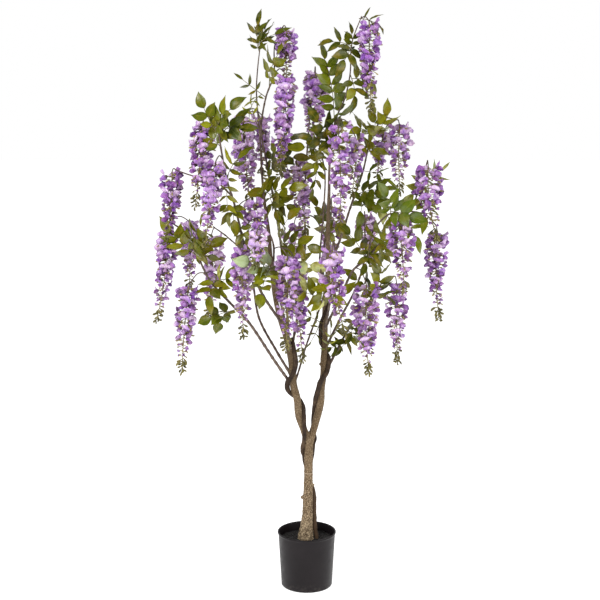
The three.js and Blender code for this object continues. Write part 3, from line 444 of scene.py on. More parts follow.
# ---------------- materials
class Paint:
    """Builds a material as layers of colour, in linear red, green and blue."""

    def __init__(self, name, roughness, specular=0.5):
        self.material = bpy.data.materials.new(name)
        self.material.use_nodes = True
        self.tree = self.material.node_tree
        self.shader = self.tree.nodes["Principled BSDF"]
        self.colour = (0.8, 0.8, 0.8)
        self.set("Roughness", roughness)
        self.set("Specular IOR Level", specular)

    def set(self, socket, value):
        self.feed(self.shader.inputs[socket], value)

    def feed(self, socket, value):
        if isinstance(value, bpy.types.NodeSocket):
            self.tree.links.new(value, socket)
        elif socket.type == "RGBA":
            socket.default_value = (*value, 1)
        else:
            socket.default_value = value

    def node(self, kind, inputs=(), **settings):
        node = self.tree.nodes.new(kind)
        for key, value in settings.items():
            setattr(node, key, value)
        for socket, value in dict(inputs).items():
            self.feed(node.inputs[socket], value)
        return node

    def look(self, name):
        return self.node("ShaderNodeAttribute", attribute_name=name).outputs["Fac"]

    def place(self, stretch=(1, 1, 1)):
        where = self.node("ShaderNodeTexCoord").outputs["Object"]
        return self.node("ShaderNodeMapping", {"Vector": where, "Scale": stretch}).outputs["Vector"]

    def height(self):
        return self.node("ShaderNodeSeparateXYZ", {"Vector": self.place()}).outputs["Z"]

    def noise(self, scale, detail=3.0, stretch=(1, 1, 1)):
        inputs = {"Vector": self.place(stretch), "Scale": scale, "Detail": detail, "Roughness": 0.55}
        return self.node("ShaderNodeTexNoise", inputs).outputs["Fac"]

    def maths(self, operation, *values):
        node = self.node("ShaderNodeMath", operation=operation)
        for socket, value in zip(node.inputs, values):
            self.feed(socket, value)
        return node.outputs[0]

    def plus(self, a, b):
        return self.maths("ADD", a, b)

    def times(self, a, b):
        return self.maths("MULTIPLY", a, b)

    def spread(self, value, low, high, to_low=0.0, to_high=1.0):
        inputs = {"Value": value, "From Min": low, "From Max": high, "To Min": to_low, "To Max": to_high}
        return self.node("ShaderNodeMapRange", inputs).outputs["Result"]

    def clouded_tint(self, scale, detail, low, amount):
        """The tint, made up to amount darker or lighter in soft clouds."""
        cloud = self.spread(self.noise(scale, detail), low, 1 - low, -amount, amount)
        return self.plus(self.look("tint"), cloud)

    def base(self, share, *stops):
        """The first layer: a ramp of (position, colour) stops."""
        node = self.node("ShaderNodeValToRGB", {"Fac": share})
        elements = node.color_ramp.elements
        while len(elements) < len(stops):
            elements.new(0.5)
        for element, (position, colour) in zip(elements, stops):
            element.position = position
            element.color = (*colour, 1)
        self.colour = node.outputs["Color"]

    def coat(self, name, amount, colour):
        """A colour laid over the layers so far, from 0 for none to 1 for all."""
        node = self.node("ShaderNodeMix", {"Factor": amount}, data_type="RGBA", label=name)
        below, above = [s for s in node.inputs if s.type == "RGBA"]
        self.feed(below, self.colour)
        self.feed(above, colour)
        self.colour = node.outputs[2]

    def patches(self, name, scale, low, high, amount, colour, detail=2, stretch=(1, 1, 1)):
        """A coat in patches, where a noise goes from low to high."""
        self.coat(name, self.spread(self.noise(scale, detail, stretch), low, high, 0.0, amount), colour)

    def bump(self, height, strength, distance):
        inputs = {"Height": height, "Strength": strength, "Distance": distance}
        self.set("Normal", self.node("ShaderNodeBump", inputs).outputs["Normal"])

    def done(self):
        self.set("Base Color", self.colour)
        return self.material


def petal_material():
    """Lilac cloth: each petal has its own tint, darker towards its foot as painted shade, lighter at its
    edges as a painted highlight, with fine veins.
    """
    p = Paint("petals", 0.6, specular=0.2)
    p.base(
        p.clouded_tint(120, 3, 0.32, 0.3),
        (0, (0.07, 0.013, 0.11)), (0.3, (0.195, 0.062, 0.29)), (0.58, (0.43, 0.2, 0.58)),
        (0.8, (0.65, 0.4, 0.79)), (1, (0.9, 0.7, 0.94)),
    )
    p.patches("faded", 26, 0.5, 0.68, 0.5, (0.62, 0.44, 0.55))
    p.patches("vivid", 34, 0.5, 0.64, 0.62, (0.275, 0.083, 0.56), stretch=(1, 1.3, 0.8))
    p.patches("rosy", 44, 0.52, 0.64, 0.4, (0.5, 0.17, 0.44), stretch=(1.2, 1, 0.9))
    across = p.look("across")
    veins = p.spread(p.maths("SINE", p.times(across, 22)), 0.2, 1, 0, 0.24)
    p.coat("veins", veins, (0.17, 0.035, 0.26))
    # painted highlight: each petal lighter towards its edges
    p.coat("painted highlight at petal edge", p.spread(p.maths("ABSOLUTE", across), 0.7, 1, 0, 0.4), (0.76, 0.56, 0.84))
    # painted shade: each petal darker towards its foot, where the florets crowd together
    p.coat("painted shade at petal foot", p.spread(p.look("along"), 0.05, 0.6, 0.8, 0), (0.15, 0.022, 0.19))
    p.coat("banner's eye", p.times(p.look("blotch"), 0.85), (0.84, 0.76, 0.7))
    creases = p.times(p.noise(260), 2.2)
    p.bump(p.plus(p.times(veins, 1.5), creases), 0.75, 0.0012)
    p.set("Sheen Weight", 0.12)
    p.set("Sheen Roughness", 0.5)
    return p.done()


def green_stem_material():
    """The yellow-green of flower stalks, calyxes and buds."""
    p = Paint("flower_stalks", 0.6)
    p.base(
        p.clouded_tint(160, 2, 0.3, 0.2),
        (0, (0.05, 0.045, 0.009)), (0.45, (0.152, 0.134, 0.027)), (1, (0.42, 0.33, 0.12)),
    )
    p.bump(p.noise(900, 2), 0.3, 0.0003)
    return p.done()


def leaf_material():
    """Olive to dark green satin leaflets with a pale midrib and side veins."""
    p = Paint("leaves", 0.42)
    p.base(
        p.clouded_tint(38, 3, 0.32, 0.11),
        (0, (0.028, 0.038, 0.002)), (0.22, (0.072, 0.082, 0.003)), (0.42, (0.145, 0.15, 0.003)),
        (0.68, (0.28, 0.28, 0.008)), (0.82, (0.74, 0.74, 0.27)), (0.96, (0.46, 0.55, 0.3)),
    )
    p.patches("yellowed", 31, 0.5, 0.66, 0.6, (0.23, 0.165, 0.014), stretch=(1, 0.8, 1.2))
    p.coat("greener", p.times(p.look("blotch"), 0.5), (0.085, 0.165, 0.01))
    aside = p.maths("ABSOLUTE", p.look("across"))
    slanted = p.maths("SUBTRACT", p.times(p.look("along"), 9), p.times(aside, 2.4))
    side_veins = p.spread(p.maths("PINGPONG", slanted, 0.5), 0, 0.11, 0.5, 0)
    veins = p.maths("MAXIMUM", p.spread(aside, 0, 0.085, 1, 0), side_veins)
    p.coat("veins", p.times(veins, 0.28), (0.34, 0.35, 0.07))
    p.bump(p.plus(p.times(veins, -1), p.times(p.noise(420, 2), 0.5)), 0.5, 0.0006)
    p.set("Roughness", p.spread(p.noise(70, 2), 0.3, 0.7, 0.26, 0.44))
    p.set("Specular IOR Level", p.spread(p.noise(22, 2), 0.47, 0.62, 0.05, 0.85))
    return p.done()


def leaf_stem_material():
    p = Paint("leaf_stems", 0.55)
    p.base(
        p.noise(60, 2),
        (0.25, (0.085, 0.052, 0.022)), (0.55, (0.16, 0.14, 0.035)), (0.8, (0.22, 0.21, 0.06)),
    )
    p.bump(p.noise(800, 2), 0.3, 0.0003)
    return p.done()


def bark_material():
    """Beige bark of small pale grains and dark cracks, with painted light on its foot and painted shade
    where it nears the crown.
    """
    p = Paint("bark", 0.85, specular=0.3)
    p.base(
        p.noise(26, 4),
        (0.28, (0.15, 0.094, 0.046)), (0.45, (0.235, 0.16, 0.088)), (0.58, (0.31, 0.22, 0.128)),
        (0.75, (0.44, 0.335, 0.21)),
    )
    cross = p.noise(60, 4, (1, 1, 6))
    p.coat("cross marks", p.spread(cross, 0.52, 0.74, 0, 0.5), (0.15, 0.097, 0.055))
    lengthwise = p.noise(110, 3, (1, 1, 0.14))
    p.coat("long streaks", p.spread(lengthwise, 0.52, 0.68, 0, 0.35), (0.19, 0.13, 0.075))
    height = p.height()
    # painted light: the foot of the trunk made paler, against the shade of the pot's rim
    p.coat("painted light on bark foot", p.spread(height, 0.17, 0.24, 0.85, 0), (0.68, 0.53, 0.33))
    coarse = p.spread(height, 0.3, 0.42, 1, 0.6)
    cracks = p.times(p.spread(p.look("blotch"), 0.1, 0.8, 0.9, 0), coarse)
    p.coat("cracks", cracks, (0.07, 0.042, 0.021))
    speck = p.noise(300, 2)
    p.coat("pale specks", p.times(p.spread(speck, 0.5, 0.62, 0, 0.65), coarse), (0.6, 0.455, 0.29))
    p.coat("dark specks", p.spread(speck, 0.36, 0.46, 0.5, 0), (0.1, 0.063, 0.033))
    from_ring = p.maths("ABSOLUTE", p.maths("SUBTRACT", height, RING_HEIGHT * MM))
    p.coat("pale ring", p.spread(from_ring, 0.0006, 0.0018, 0.6, 0), (0.62, 0.5, 0.36))
    middle = p.times(p.spread(height, 0.24, 0.32), p.spread(height, 0.48, 0.6, 0.14, 0))
    p.coat("browner middle", middle, (0.06, 0.034, 0.012))
    # painted shade: the limbs darker where the crown's leaves shade them
    shaded = p.times(p.spread(height, 0.37, 0.8), p.spread(height, 0.78, 0.86, 0.84, 0.08))
    p.coat("painted shade under crown", shaded, (0.06, 0.034, 0.012))
    p.coat("as dark as twigs", p.spread(height, 0.8, 1.25, 0, 0.8), (0.085, 0.058, 0.036))
    relief = p.plus(p.times(p.plus(lengthwise, cross), -0.6), p.times(speck, 1.1))
    p.bump(relief, 0.85, 0.0016)
    return p.done()


def twig_material():
    p = Paint("twig_bark", 0.62)
    p.base(
        p.noise(48),
        (0.28, (0.045, 0.024, 0.02)), (0.5, (0.095, 0.058, 0.042)), (0.74, (0.2, 0.145, 0.1)),
    )
    rings = p.noise(90, 2, (1, 1, 5))
    p.coat("pale rings", p.spread(rings, 0.56, 0.7, 0, 0.5), (0.27, 0.21, 0.15))
    p.bump(p.plus(rings, p.noise(600, 2)), 0.5, 0.0007)
    return p.done()


def vine_material():
    p = Paint("vine_bark", 0.75, specular=0.25)
    p.base(
        p.noise(34),
        (0.28, (0.018, 0.01, 0.006)), (0.52, (0.042, 0.024, 0.014)), (0.78, (0.13, 0.084, 0.048)),
    )
    grain = p.noise(120, 3, (1, 1, 0.2))
    p.coat("dark streaks", p.spread(grain, 0.52, 0.7, 0, 0.6), (0.018, 0.01, 0.006))
    # painted light: the vine's foot made paler, against the shade of the pot's rim
    p.coat("painted light on vine foot", p.spread(p.height(), 0.2, 0.42, 0.45, 0), (0.15, 0.092, 0.05))
    p.bump(p.plus(p.times(grain, -1), p.noise(420, 2)), 0.8, 0.0014)
    return p.done()


def pot_material():
    """Satin black plastic with the faint unevenness of a moulding and dust near its foot."""
    p = Paint("pot", 0.42, specular=0.2)
    p.base(p.noise(14), (0.3, (0.008, 0.0056, 0.0066)), (0.7, (0.0115, 0.0082, 0.0095)))
    dust = p.times(p.spread(p.height(), 0, 0.03, 0.25, 0), p.spread(p.noise(90, 4), 0.45, 0.7))
    p.coat("dust", dust, (0.16, 0.14, 0.12))
    p.set("Roughness", p.spread(p.noise(60, 4), 0.3, 0.7, 0.36, 0.5))
    p.bump(p.noise(700), 0.12, 0.0003)
    return p.done()


def soil_material():
    p = Paint("soil", 0.9)
    p.base(
        p.clouded_tint(300, 3, 0.3, 0.25),
        (0, (0.006, 0.005, 0.005)), (0.6, (0.016, 0.013, 0.012)), (1, (0.05, 0.04, 0.035)),
    )
    p.bump(p.noise(900), 0.6, 0.0008)
    return p.done()


PETALS = petal_material()
GREEN = green_stem_material()
LEAVES = leaf_material()
LEAF_STEMS = leaf_stem_material()
BARK = bark_material()
TWIG_BARK = twig_material()
VINE_BARK = vine_material()
POT = pot_material()
SOIL = soil_material()

# ---------------- pot and soil
LIP_HEIGHT = POT_HEIGHT - 7  # where the pot's wall steps out to its rim
SOIL_WAVES = [(1.8, 0.06), (1.1, 0.21)]  # (height, waves per mm)
SOIL_MIDDLE = SOIL_TOP - 0.8
SOIL_EDGE = SOIL_TOP - 2.5
GRIT_COUNT = 760
GRIT_SIZES = (1.3, 3.6)
TRUNK_FOOT_X = -4
TRUNK_FOOT_RADIUS = 25  # no grit lies nearer to the trunk's foot


def lathe(profile, sides):
    """A closed form turned about the upright axis; its [radius, z] rows run from axis to axis."""
    angles = np.arange(sides) / sides * FULL_TURN
    rings = [np.stack([np.cos(angles) * r, np.sin(angles) * r, np.full(sides, z)], axis=1)
             for r, z in profile[1:-1]]
    return ringed(rings, [0, 0, profile[0][1]], [0, 0, profile[-1][1]])


def pot_outer(z):
    return mix(POT_BASE_RADIUS, POT_RIM_RADIUS - 2, z / POT_HEIGHT)


def make_pot():
    rim, top, lip = POT_RIM_RADIUS, POT_HEIGHT, LIP_HEIGHT
    hollow_base = [[0, 1.2], [60, 1.2], [66, 0.4], [70, 0]]
    foot = [[POT_BASE_RADIUS - 3, 0], [POT_BASE_RADIUS - 1.2, 0.5], [pot_outer(2.4), 2.4]]
    wall = [[pot_outer(z), z] for z in np.linspace(8, lip - 4, 9)]
    step = [[pot_outer(lip), lip], [pot_outer(lip) + 0.5, lip + 0.8], [rim - 0.6, lip + 1.6]]
    edge = [[rim, lip + 2.6], [rim, top - 2], [rim - 0.5, top - 0.7], [rim - 1.8, top],
            [rim - 3.2, top - 0.3], [rim - 4.0, top - 1.4]]
    inside = [[pot_outer(z) - POT_WALL, z] for z in np.linspace(top - 5, POT_FLOOR + 4, 7)]
    floor = [[pot_outer(POT_FLOOR) - POT_WALL - 3, POT_FLOOR], [0, POT_FLOOR]]
    return lathe([*hollow_base, *foot, *wall, *step, *edge, *inside, *floor], sides=128)


def make_grit(random, reach):
    """Small stones of several sizes that lie on the soil out to a reach from its middle."""
    stones = []
    for _ in range(GRIT_COUNT):
        radius = reach * math.sqrt(random.random())
        angle = random.random() * FULL_TURN
        size = mix(*GRIT_SIZES, random.random() ** 2)
        x, y = radius * math.cos(angle), radius * math.sin(angle)
        if math.hypot(x - TRUNK_FOOT_X, y) < TRUNK_FOOT_RADIUS:
            continue
        squash = [between(random, 0.8, 1.4), between(random, 0.8, 1.4), between(random, 0.55, 0.85)]
        turn = turn_about(UP, random.random() * math.pi)
        tilt = turn_about(X_AXIS, between(random, -0.5, 0.5))
        stone = ball(size, squash, rings=4, sides=6)
        stone.points += (random.random(stone.points.shape) - 0.5) * size * 0.3
        shade = mix(0.15, 0.85, random.random() ** 2)
        stones.append(stone.placed(turn @ tilt, (x, y, SOIL_TOP - 0.2), shade))
    return stones


def make_soil():
    """The dark fill, rough on top and strewn with grit."""
    reach = pot_outer(SOIL_TOP) - POT_WALL - 1
    floor = POT_FLOOR + 1
    profile = [[0, floor], [pot_outer(POT_FLOOR) - POT_WALL - 5, floor], [reach, SOIL_EDGE]]
    profile += [[r, SOIL_MIDDLE] for r in np.linspace(reach - 2, 2, 26)] + [[0, SOIL_MIDDLE]]
    fill = lathe(profile, sides=96)
    for point in fill.points:
        if point[2] > SOIL_EDGE:
            point[2] += waves_at(point, SOIL_WAVES)
    return join([fill, *make_grit(np.random.default_rng(7), reach * 0.97)])


add_piece("pot_body", make_pot(), [POT], "pot")
add_piece("soil_dressing", make_soil(), [SOIL], "soil")

# ---------------- wood
LEFT_SKIN_ROWS, RIGHT_SKIN_ROWS = 17, 13  # how many rows of the limbs are melted into one skin
SHARED_ROWS = 2  # of these, how many the limbs' thin ends start with
ROOTS = [(200, 27), (250, 28), (300, 25), (345, 24), (60, 26), (120, 27), (160, 26)]  # (angle, reach)
SKIN_VOXEL = 1.7
SKIN_SMOOTHING = 8
BARK_WAVES = [  # (height, waves per mm along x, y and z)
    (0.9, (0.11, 0.11, 0.014)),  # long ridges
    (0.45, (0.32, 0.32, 0.1)),  # fine ones
    (0.4, (0.05, 0.05, 0.32)),  # cross ripples
    (0.9, (0.03, 0.03, 0.022)),  # swellings
]
GRAINS_PER_MM = np.array([0.125, 0.125, 0.11])
GRAIN_EDGE = 0.5  # how wide the cracks' sides are, as a share of a grain
GRAIN_HEIGHT = 1.3
RELIEF_FADES = 900  # the height over which the bark's relief fades
RELIEF_TOP = 1150  # where it would end,
LEAST_RELIEF = 0.35  # though so much of it is left on thin wood
THIN_LIMB_GRAIN = 0.6  # how full the bark's grains are where they are too fine to model
TWIG_BARK_FROM = 1240  # the height from which the limbs are as dark as twigs
BARK_SLOT, TWIG_SLOT = 0, 1


def twig_rows(twig):
    """The [x, y, z, radius] rows of a twig."""
    thick, thin, points = twig
    last = len(points) - 1
    return [[*point, mix(thick, thin, i / last)] for i, point in enumerate(points)]


BRANCHES = [TRUNK_AND_LEFT_LIMB, RIGHT_LIMB, *map(twig_rows, TWIGS.values())]
LOW_ENDS = np.concatenate([np.array(line[:-1], float) for line in BRANCHES])
SPANS = np.concatenate([np.diff(line, axis=0) for line in BRANCHES])


def nearest_wood(place):
    """The point of the wood's centre lines that lies nearest, with the radius there."""
    ways = SPANS[:, :3]
    shares = ((place - LOW_ENDS[:, :3]) * ways).sum(axis=1) / (ways ** 2).sum(axis=1)
    rows = LOW_ENDS + SPANS * np.clip(shares, 0, 1)[:, None]
    nearest = rows[np.argmin(np.linalg.norm(rows[:, :3] - place, axis=1))]
    return nearest[:3], nearest[3]


def at_height(limb, height):
    """The [x, y, z, radius] of a limb where its centre line passes a height."""
    columns = np.transpose(limb)
    return [np.interp(height, columns[2], column) for column in columns]


def read_rows(items, field, kind):
    """A field that holds three numbers for each item, as rows."""
    values = np.empty(len(items) * 3, kind)
    items.foreach_get(field, values)
    return values.reshape(-1, 3)


def melted(shape):
    """The shape's bodies melted into one smooth skin, and the skin's normals."""
    piece = make_object("melting", shape, [])
    melt = piece.modifiers.new("melt", "REMESH")
    melt.mode = "VOXEL"
    melt.voxel_size = SKIN_VOXEL * MM
    soften = piece.modifiers.new("soften", "SMOOTH")
    soften.iterations = SKIN_SMOOTHING
    soften.factor = 0.5
    graph = bpy.context.evaluated_depsgraph_get()
    mesh = bpy.data.meshes.new_from_object(piece.evaluated_get(graph))
    mesh.calc_loop_triangles()
    points = read_rows(mesh.vertices, "co", np.float32)
    faces = read_rows(mesh.loop_triangles, "vertices", np.int32)
    normals = read_rows(mesh.vertices, "normal", np.float32)
    old = piece.data
    bpy.data.objects.remove(piece)
    bpy.data.meshes.remove(old)
    bpy.data.meshes.remove(mesh)
    return Shape(points / MM, faces), normals


def bark_grain(point):
    """0 in the cracks between the bark's grains, 1 on their tops."""
    nearest, second = noise.voronoi(Vector(point * GRAINS_PER_MM))[0][:2]
    return min((second - nearest) / GRAIN_EDGE, 1)


def root_flare(angle, reach):
    """A root that leaves the trunk above the soil and dips into it."""
    x, y = math.cos(math.radians(angle)), math.sin(math.radians(angle))
    rows = [[x * 6, y * 6, 205, 7], [x * 13, y * 12, 178, 8.5],
            [x * (reach - 10), y * (reach - 10), 158, 8], [x * (reach - 5), y * (reach - 5), 136, 8]]
    return tube(smooth_line(rows, step=5), sides=12)


def knot(x, y, z, radius):
    shape = ball(radius, (1.1, 1.0, 0.8), rings=7, sides=12)
    shape.points += (x, y, z)
    return shape


def make_skin():
    """Trunk, limbs, roots and knots in one skin with bark relief, which fades on thin wood."""
    trunk = [[-2, 0, 128, 21], *TRUNK_AND_LEFT_LIMB[:LEFT_SKIN_ROWS]]
    right = RIGHT_LIMB[:RIGHT_SKIN_ROWS]
    parts = [tube(smooth_line(trunk, step=6), sides=24), tube(smooth_line(right, step=6), sides=22)]
    parts += [root_flare(*root) for root in ROOTS]
    parts += [knot(*row) for row in KNOTS]
    skin, normals = melted(join(parts))
    grains = np.array([bark_grain(p) for p in skin.points])
    heights = np.array([waves_at(p, BARK_WAVES) for p in skin.points])
    fullness = np.clip((RELIEF_TOP - skin.points[:, 2]) / RELIEF_FADES, LEAST_RELIEF, 1)
    heights = heights * fullness + GRAIN_HEIGHT * (grains - 0.6) * fullness ** 2
    skin.points += normals * heights[:, None]
    skin.looks[:, BLOTCH] = grains
    return skin


def limb_end(rows):
    """The thin end of a limb, with the colour of bark and then of twigs."""
    shape = tube(smooth_line(rows, step=9), sides=12)
    shape.slots = np.where(shape.points[shape.faces[:, 0], 2] > TWIG_BARK_FROM, TWIG_SLOT, BARK_SLOT)
    shape.looks[:, BLOTCH] = THIN_LIMB_GRAIN
    return shape


def make_twig(twig, number):
    """A twig that is thick at its foot and swells gently and at its joints."""
    rows = smooth_line(twig_rows(twig), step=7)
    steps = np.arange(len(rows))
    joints = steps % 7 == 3
    rows[:, 3] *= 1 + 0.10 * np.sin(steps * 1.9 + number) + 0.12 * joints
    rows[:3, 3] *= [1.35, 1.2, 1.1]
    return tube(rows, 9, TWIG_SLOT)


def make_trunk():
    ends = [TRUNK_AND_LEFT_LIMB[LEFT_SKIN_ROWS - SHARED_ROWS:],
            RIGHT_LIMB[RIGHT_SKIN_ROWS - SHARED_ROWS:]]
    twigs = [make_twig(twig, i) for i, twig in enumerate([*TWIGS.values(), CROSSING_TWIG])]
    return join([make_skin(), *map(limb_end, ends), *twigs])


def wound(host, turns, thick, thin):
    """The vine's [x, y, z, radius] rows round a branch, with a row between turns far apart."""
    rows = []
    for i, (height, turn, *rest) in enumerate(turns):
        before, turn_before = turns[max(i - 1, 0)][:2]
        if abs(turn - turn_before) > VINE_STEP:
            rows.append([(height + before) / 2, (turn + turn_before) / 2, 0, rest[1] if rest[1:] else 1])
        rows.append([height, turn, *rest, *[0, 1][len(rest):]])
    line = []
    for i, (height, turn, clear, swell) in enumerate(rows):
        radius = mix(thick, thin, i / (len(rows) - 1)) * swell
        x, y, z, host_radius = at_height(host, height)
        reach = host_radius + radius + VINE_SLACK + clear
        angle = turn * FULL_TURN
        line.append([x + math.cos(angle) * reach, y + math.sin(angle) * reach, z, radius])
    return line


def vine_stem(line):
    """One stem of the vine, uneven in thickness, with a thin tip."""
    rows = smooth_line(line, step=4)
    steps = np.arange(len(rows))
    rows[:, 3] *= 1 + 0.05 * np.sin(steps * 0.8) + 0.04 * np.sin(steps * 0.29 + 2)
    rows[-4:, 3] *= [0.85, 0.7, 0.5, 0.3]
    return tube(rows, 16)


def make_vine():
    left = [[*p, VINE_RADIUS] for p in VINE_RISE]
    left += wound(TRUNK_AND_LEFT_LIMB, VINE_LEFT, VINE_RADIUS, VINE_LEFT_TIP)
    on_trunk = [row for row in VINE_RIGHT if row[0] < LIMBS_PART]
    on_limb = [row for row in VINE_RIGHT if row[0] >= LIMBS_PART]
    right = wound(TRUNK_AND_LEFT_LIMB, on_trunk, VINE_FORK_RADIUS, VINE_FORK_RADIUS)
    right += wound(RIGHT_LIMB, on_limb, VINE_FORK_RADIUS, VINE_RIGHT_TIP)
    vine = join([vine_stem(left), vine_stem(right)])
    shifts = [noise.noise_vector(Vector(point * 0.12)) for point in vine.points]
    vine.points += np.array(shifts) * [0.6, 0.6, 0.2]
    return vine


add_piece("trunk_and_twigs", make_trunk(), [BARK, TWIG_BARK], "trunk")
add_piece("vine_stem", make_vine(), [VINE_BARK], "twining_vine")

# ---------------- florets
PETAL_SLOT, GREEN_SLOT, STALK_SLOT = 0, 1, 2
PETAL_THICKNESS = 0.4
DENT = 2.8
DENT_SCALE = 0.16
FIRM_FOOT = 8  # dents are softer within this distance of the floret's foot
NOTCH = 1.3244  # at the tip of the banner
BARE_CALYX_LENGTH = 16


def swept(angles, length):
    """How far forwards and up each row lies, where the petal's middle line takes these angles."""
    step = length / (len(angles) - 1)
    forwards = np.cumsum(np.cos(angles[:-1])) * step
    upwards = np.cumsum(np.sin(angles[:-1])) * step
    return np.array([[0, *forwards]]).T, np.array([[0, *upwards]]).T


def petal(forwards, sideways, upwards, seed, shade):
    """A thin petal through a grid of points, with the soft dents of pressed cloth."""
    grid = np.stack(np.broadcast_arrays(forwards, sideways, upwards), axis=2)
    dented = grid.copy()
    for place in np.ndindex(grid.shape[:2]):
        point = grid[place]
        shift = noise.noise_vector(Vector(point * DENT_SCALE + seed * 7))
        dented[place] += np.array(shift) * DENT * min(1.0, np.linalg.norm(point) / FIRM_FOOT)
    shape = blade(dented, PETAL_THICKNESS)
    shape.looks[:, TINT] = shade
    return shape


def banner_petal(open_angle, curl, wave, seed):
    """The broad upper petal, with a ridge at its foot, a notched tip and a pale eye."""
    t, a = blade_axes(7, 7)
    half = np.interp(t, [0, 0.18, 0.38, 0.58, 0.78, 0.92, 1], [2, 6.5, 12, 14.4, 13.6, 10, 6])
    angles = np.radians(mix(12, open_angle, np.clip(t * 1.5, 0, 1) ** 0.8))
    forwards, upwards = swept(angles, 21.0)
    sideways = a * half
    pull = -2.6 * t ** 3 * np.abs(a) ** 2.5 - NOTCH * t ** 6 * np.exp(-(a / 0.3) ** 2)
    ridge = 1.1 * np.exp(-(a / 0.22) ** 2) * (1 - t)
    off = curl * sideways ** 2 / 28 + wave * np.sin(3.4 * a + seed * 5) * t + ridge
    forwards = forwards + np.cos(angles) * pull + np.sin(angles) * off
    upwards = upwards + np.sin(angles) * pull - np.cos(angles) * off
    banner = petal(forwards, sideways, upwards, seed, 0.16)
    along, across = banner.looks[:, ALONG], banner.looks[:, ACROSS]
    eye = np.exp(-((along - 0.4) / 0.13) ** 2 - (across / 0.3) ** 2)
    banner.looks[:, BLOTCH] = eye * chance(seed * 1.7)
    return banner


def wing_petal(hand, drop, spread, size, seed, shade):
    """A lower petal that reaches forwards and down beside the keel, hand 1 or -1."""
    t, a = blade_axes(6, 4)
    half = np.interp(t, [0, 0.25, 0.55, 0.8, 1], [1.2, 4.4, 6.6, 5.6, 2.6]) * size
    angles = np.radians(mix(-4, -drop, t))
    forwards, upwards = swept(angles, 17.0 * size)
    lean = math.radians(spread)
    upright = a * half * math.cos(lean)
    outward = (1 - a) * half * math.sin(lean) * 0.8 + 1.3 * np.sin(math.pi * t) + 0.8
    outward = outward - 0.054 * (a * half) ** 2
    rows = (forwards - np.sin(angles) * upright, hand * outward, upwards + np.cos(angles) * upright)
    return petal(*[row[:, ::hand] for row in rows], seed, shade)


def calyx(radius):
    line = [[-1.0, 0.45], [0.4, 0.9], [3.84, 1], [6.4, 0.8]]
    return tube([[x, 0, 0, radius * share] for x, share in line], 6, GREEN_SLOT)


def folded(line, sides, along, shade):
    """The keel, or petals that are still folded together, as a tube."""
    shape = tube(line, sides, PETAL_SLOT, shade)
    shape.looks[:, ALONG] = along
    return shape


def open_floret(seed):
    """A floret facing +X from its calyx at the origin, about 28 mm across."""
    draws = [chance(seed * 3.7 + k * 1.31) for k in range(8)]
    banner = banner_petal(mix(62, 118, draws[1]), mix(-1.1, 0.9, draws[2]), mix(0.4, 1.3, draws[3]), seed)
    spread = mix(18, 58, draws[5])
    size = mix(0.95, 1.16, draws[7])
    wings = []
    for hand, shade in [(1, -0.2), (-1, -0.1)]:
        drop = mix(18, 62, draws[4]) + 12 * (draws[6] - 0.5) * hand
        wings.append(wing_petal(hand, drop, spread, size, seed + hand * 0.3, shade))
    keel_line = [[2, 0, -0.5, 1.2], [6, 0, -1.8, 2.1], [10, 0, -4, 1.9], [13, 0, -5.5, 0.7]]
    return join([banner, *wings, folded(keel_line, 5, 0.15, 0.1), calyx(3.4)])


def shut_floret(seed):
    """A young floret, its banner still folded over the wings."""
    draws = [chance(seed * 5.3 + k * 0.77) for k in range(3)]
    t, a = blade_axes(6, 5)
    half = np.interp(t, [0, 0.3, 0.6, 0.85, 1], [1.6, 5.4, 6.6, 5.0, 2.0])
    lift = mix(0.25, 0.9, draws[1])
    fold = a * mix(1.1, 1.8, draws[2])
    forwards = 16 * t - 3 * lift * t ** 2
    upwards = np.cos(fold) * half * 0.7 + 9 * lift * t ** 2 - 3 * t
    hood = petal(forwards, np.sin(fold) * half, upwards, seed, 0.05)
    wings_line = [[1, 0, 0, 1.6], [6, 0, -1, 3.4], [11, 0, -2.5, 3.0], [15, 0, -4, 0.9]]
    return join([hood, folded(wings_line, 6, 0.6, -0.14), calyx(3.2)])


def tip_bud(seed):
    """A curved bud on its own stalk, like a small claw."""
    bend = mix(-0.9, 0.9, chance(seed * 2.9 + 1.9))
    hook = mix(-0.5, 1.4, chance(seed * 2.9 + 3.8))
    rows = []
    for t in np.linspace(0, 1, 8):
        radius = np.interp(t, [0, 0.24, 0.42, 0.68, 0.88, 1], [1.0, 1.2, 2.7, 3.3, 2.3, 0.5])
        rows.append([21 * t - 4 * t ** 3, bend * 6 * t * t, -9 * t ** 2 * hook, radius])
    return tube(rows, 6, GREEN_SLOT)


def bare_calyx(seed):
    """A thin curved stalk with an empty calyx at its end, such as shows between the florets."""
    bow = mix(-3.5, 3.5, chance(seed * 6.1))
    rows = [[0, 0, 0, 0.9], [0.45, bow, 1.5, 1.0], [0.72, bow * 0.7, 0.5, 1.5],
            [0.9, bow * 0.3, -1.5, 2.6], [1.0, 0, -2.5, 1.2]]
    return tube([[x * BARE_CALYX_LENGTH, y, z, r] for x, y, z, r in rows], 5, GREEN_SLOT)


OPEN_FLORETS = [open_floret(i + 1) for i in range(10)]
SHUT_FLORETS = [shut_floret(i + 1) for i in range(5)]
TIP_BUDS = [tip_bud(i + 1) for i in range(5)]
BARE_CALYXES = [bare_calyx(i + 1) for i in range(4)]

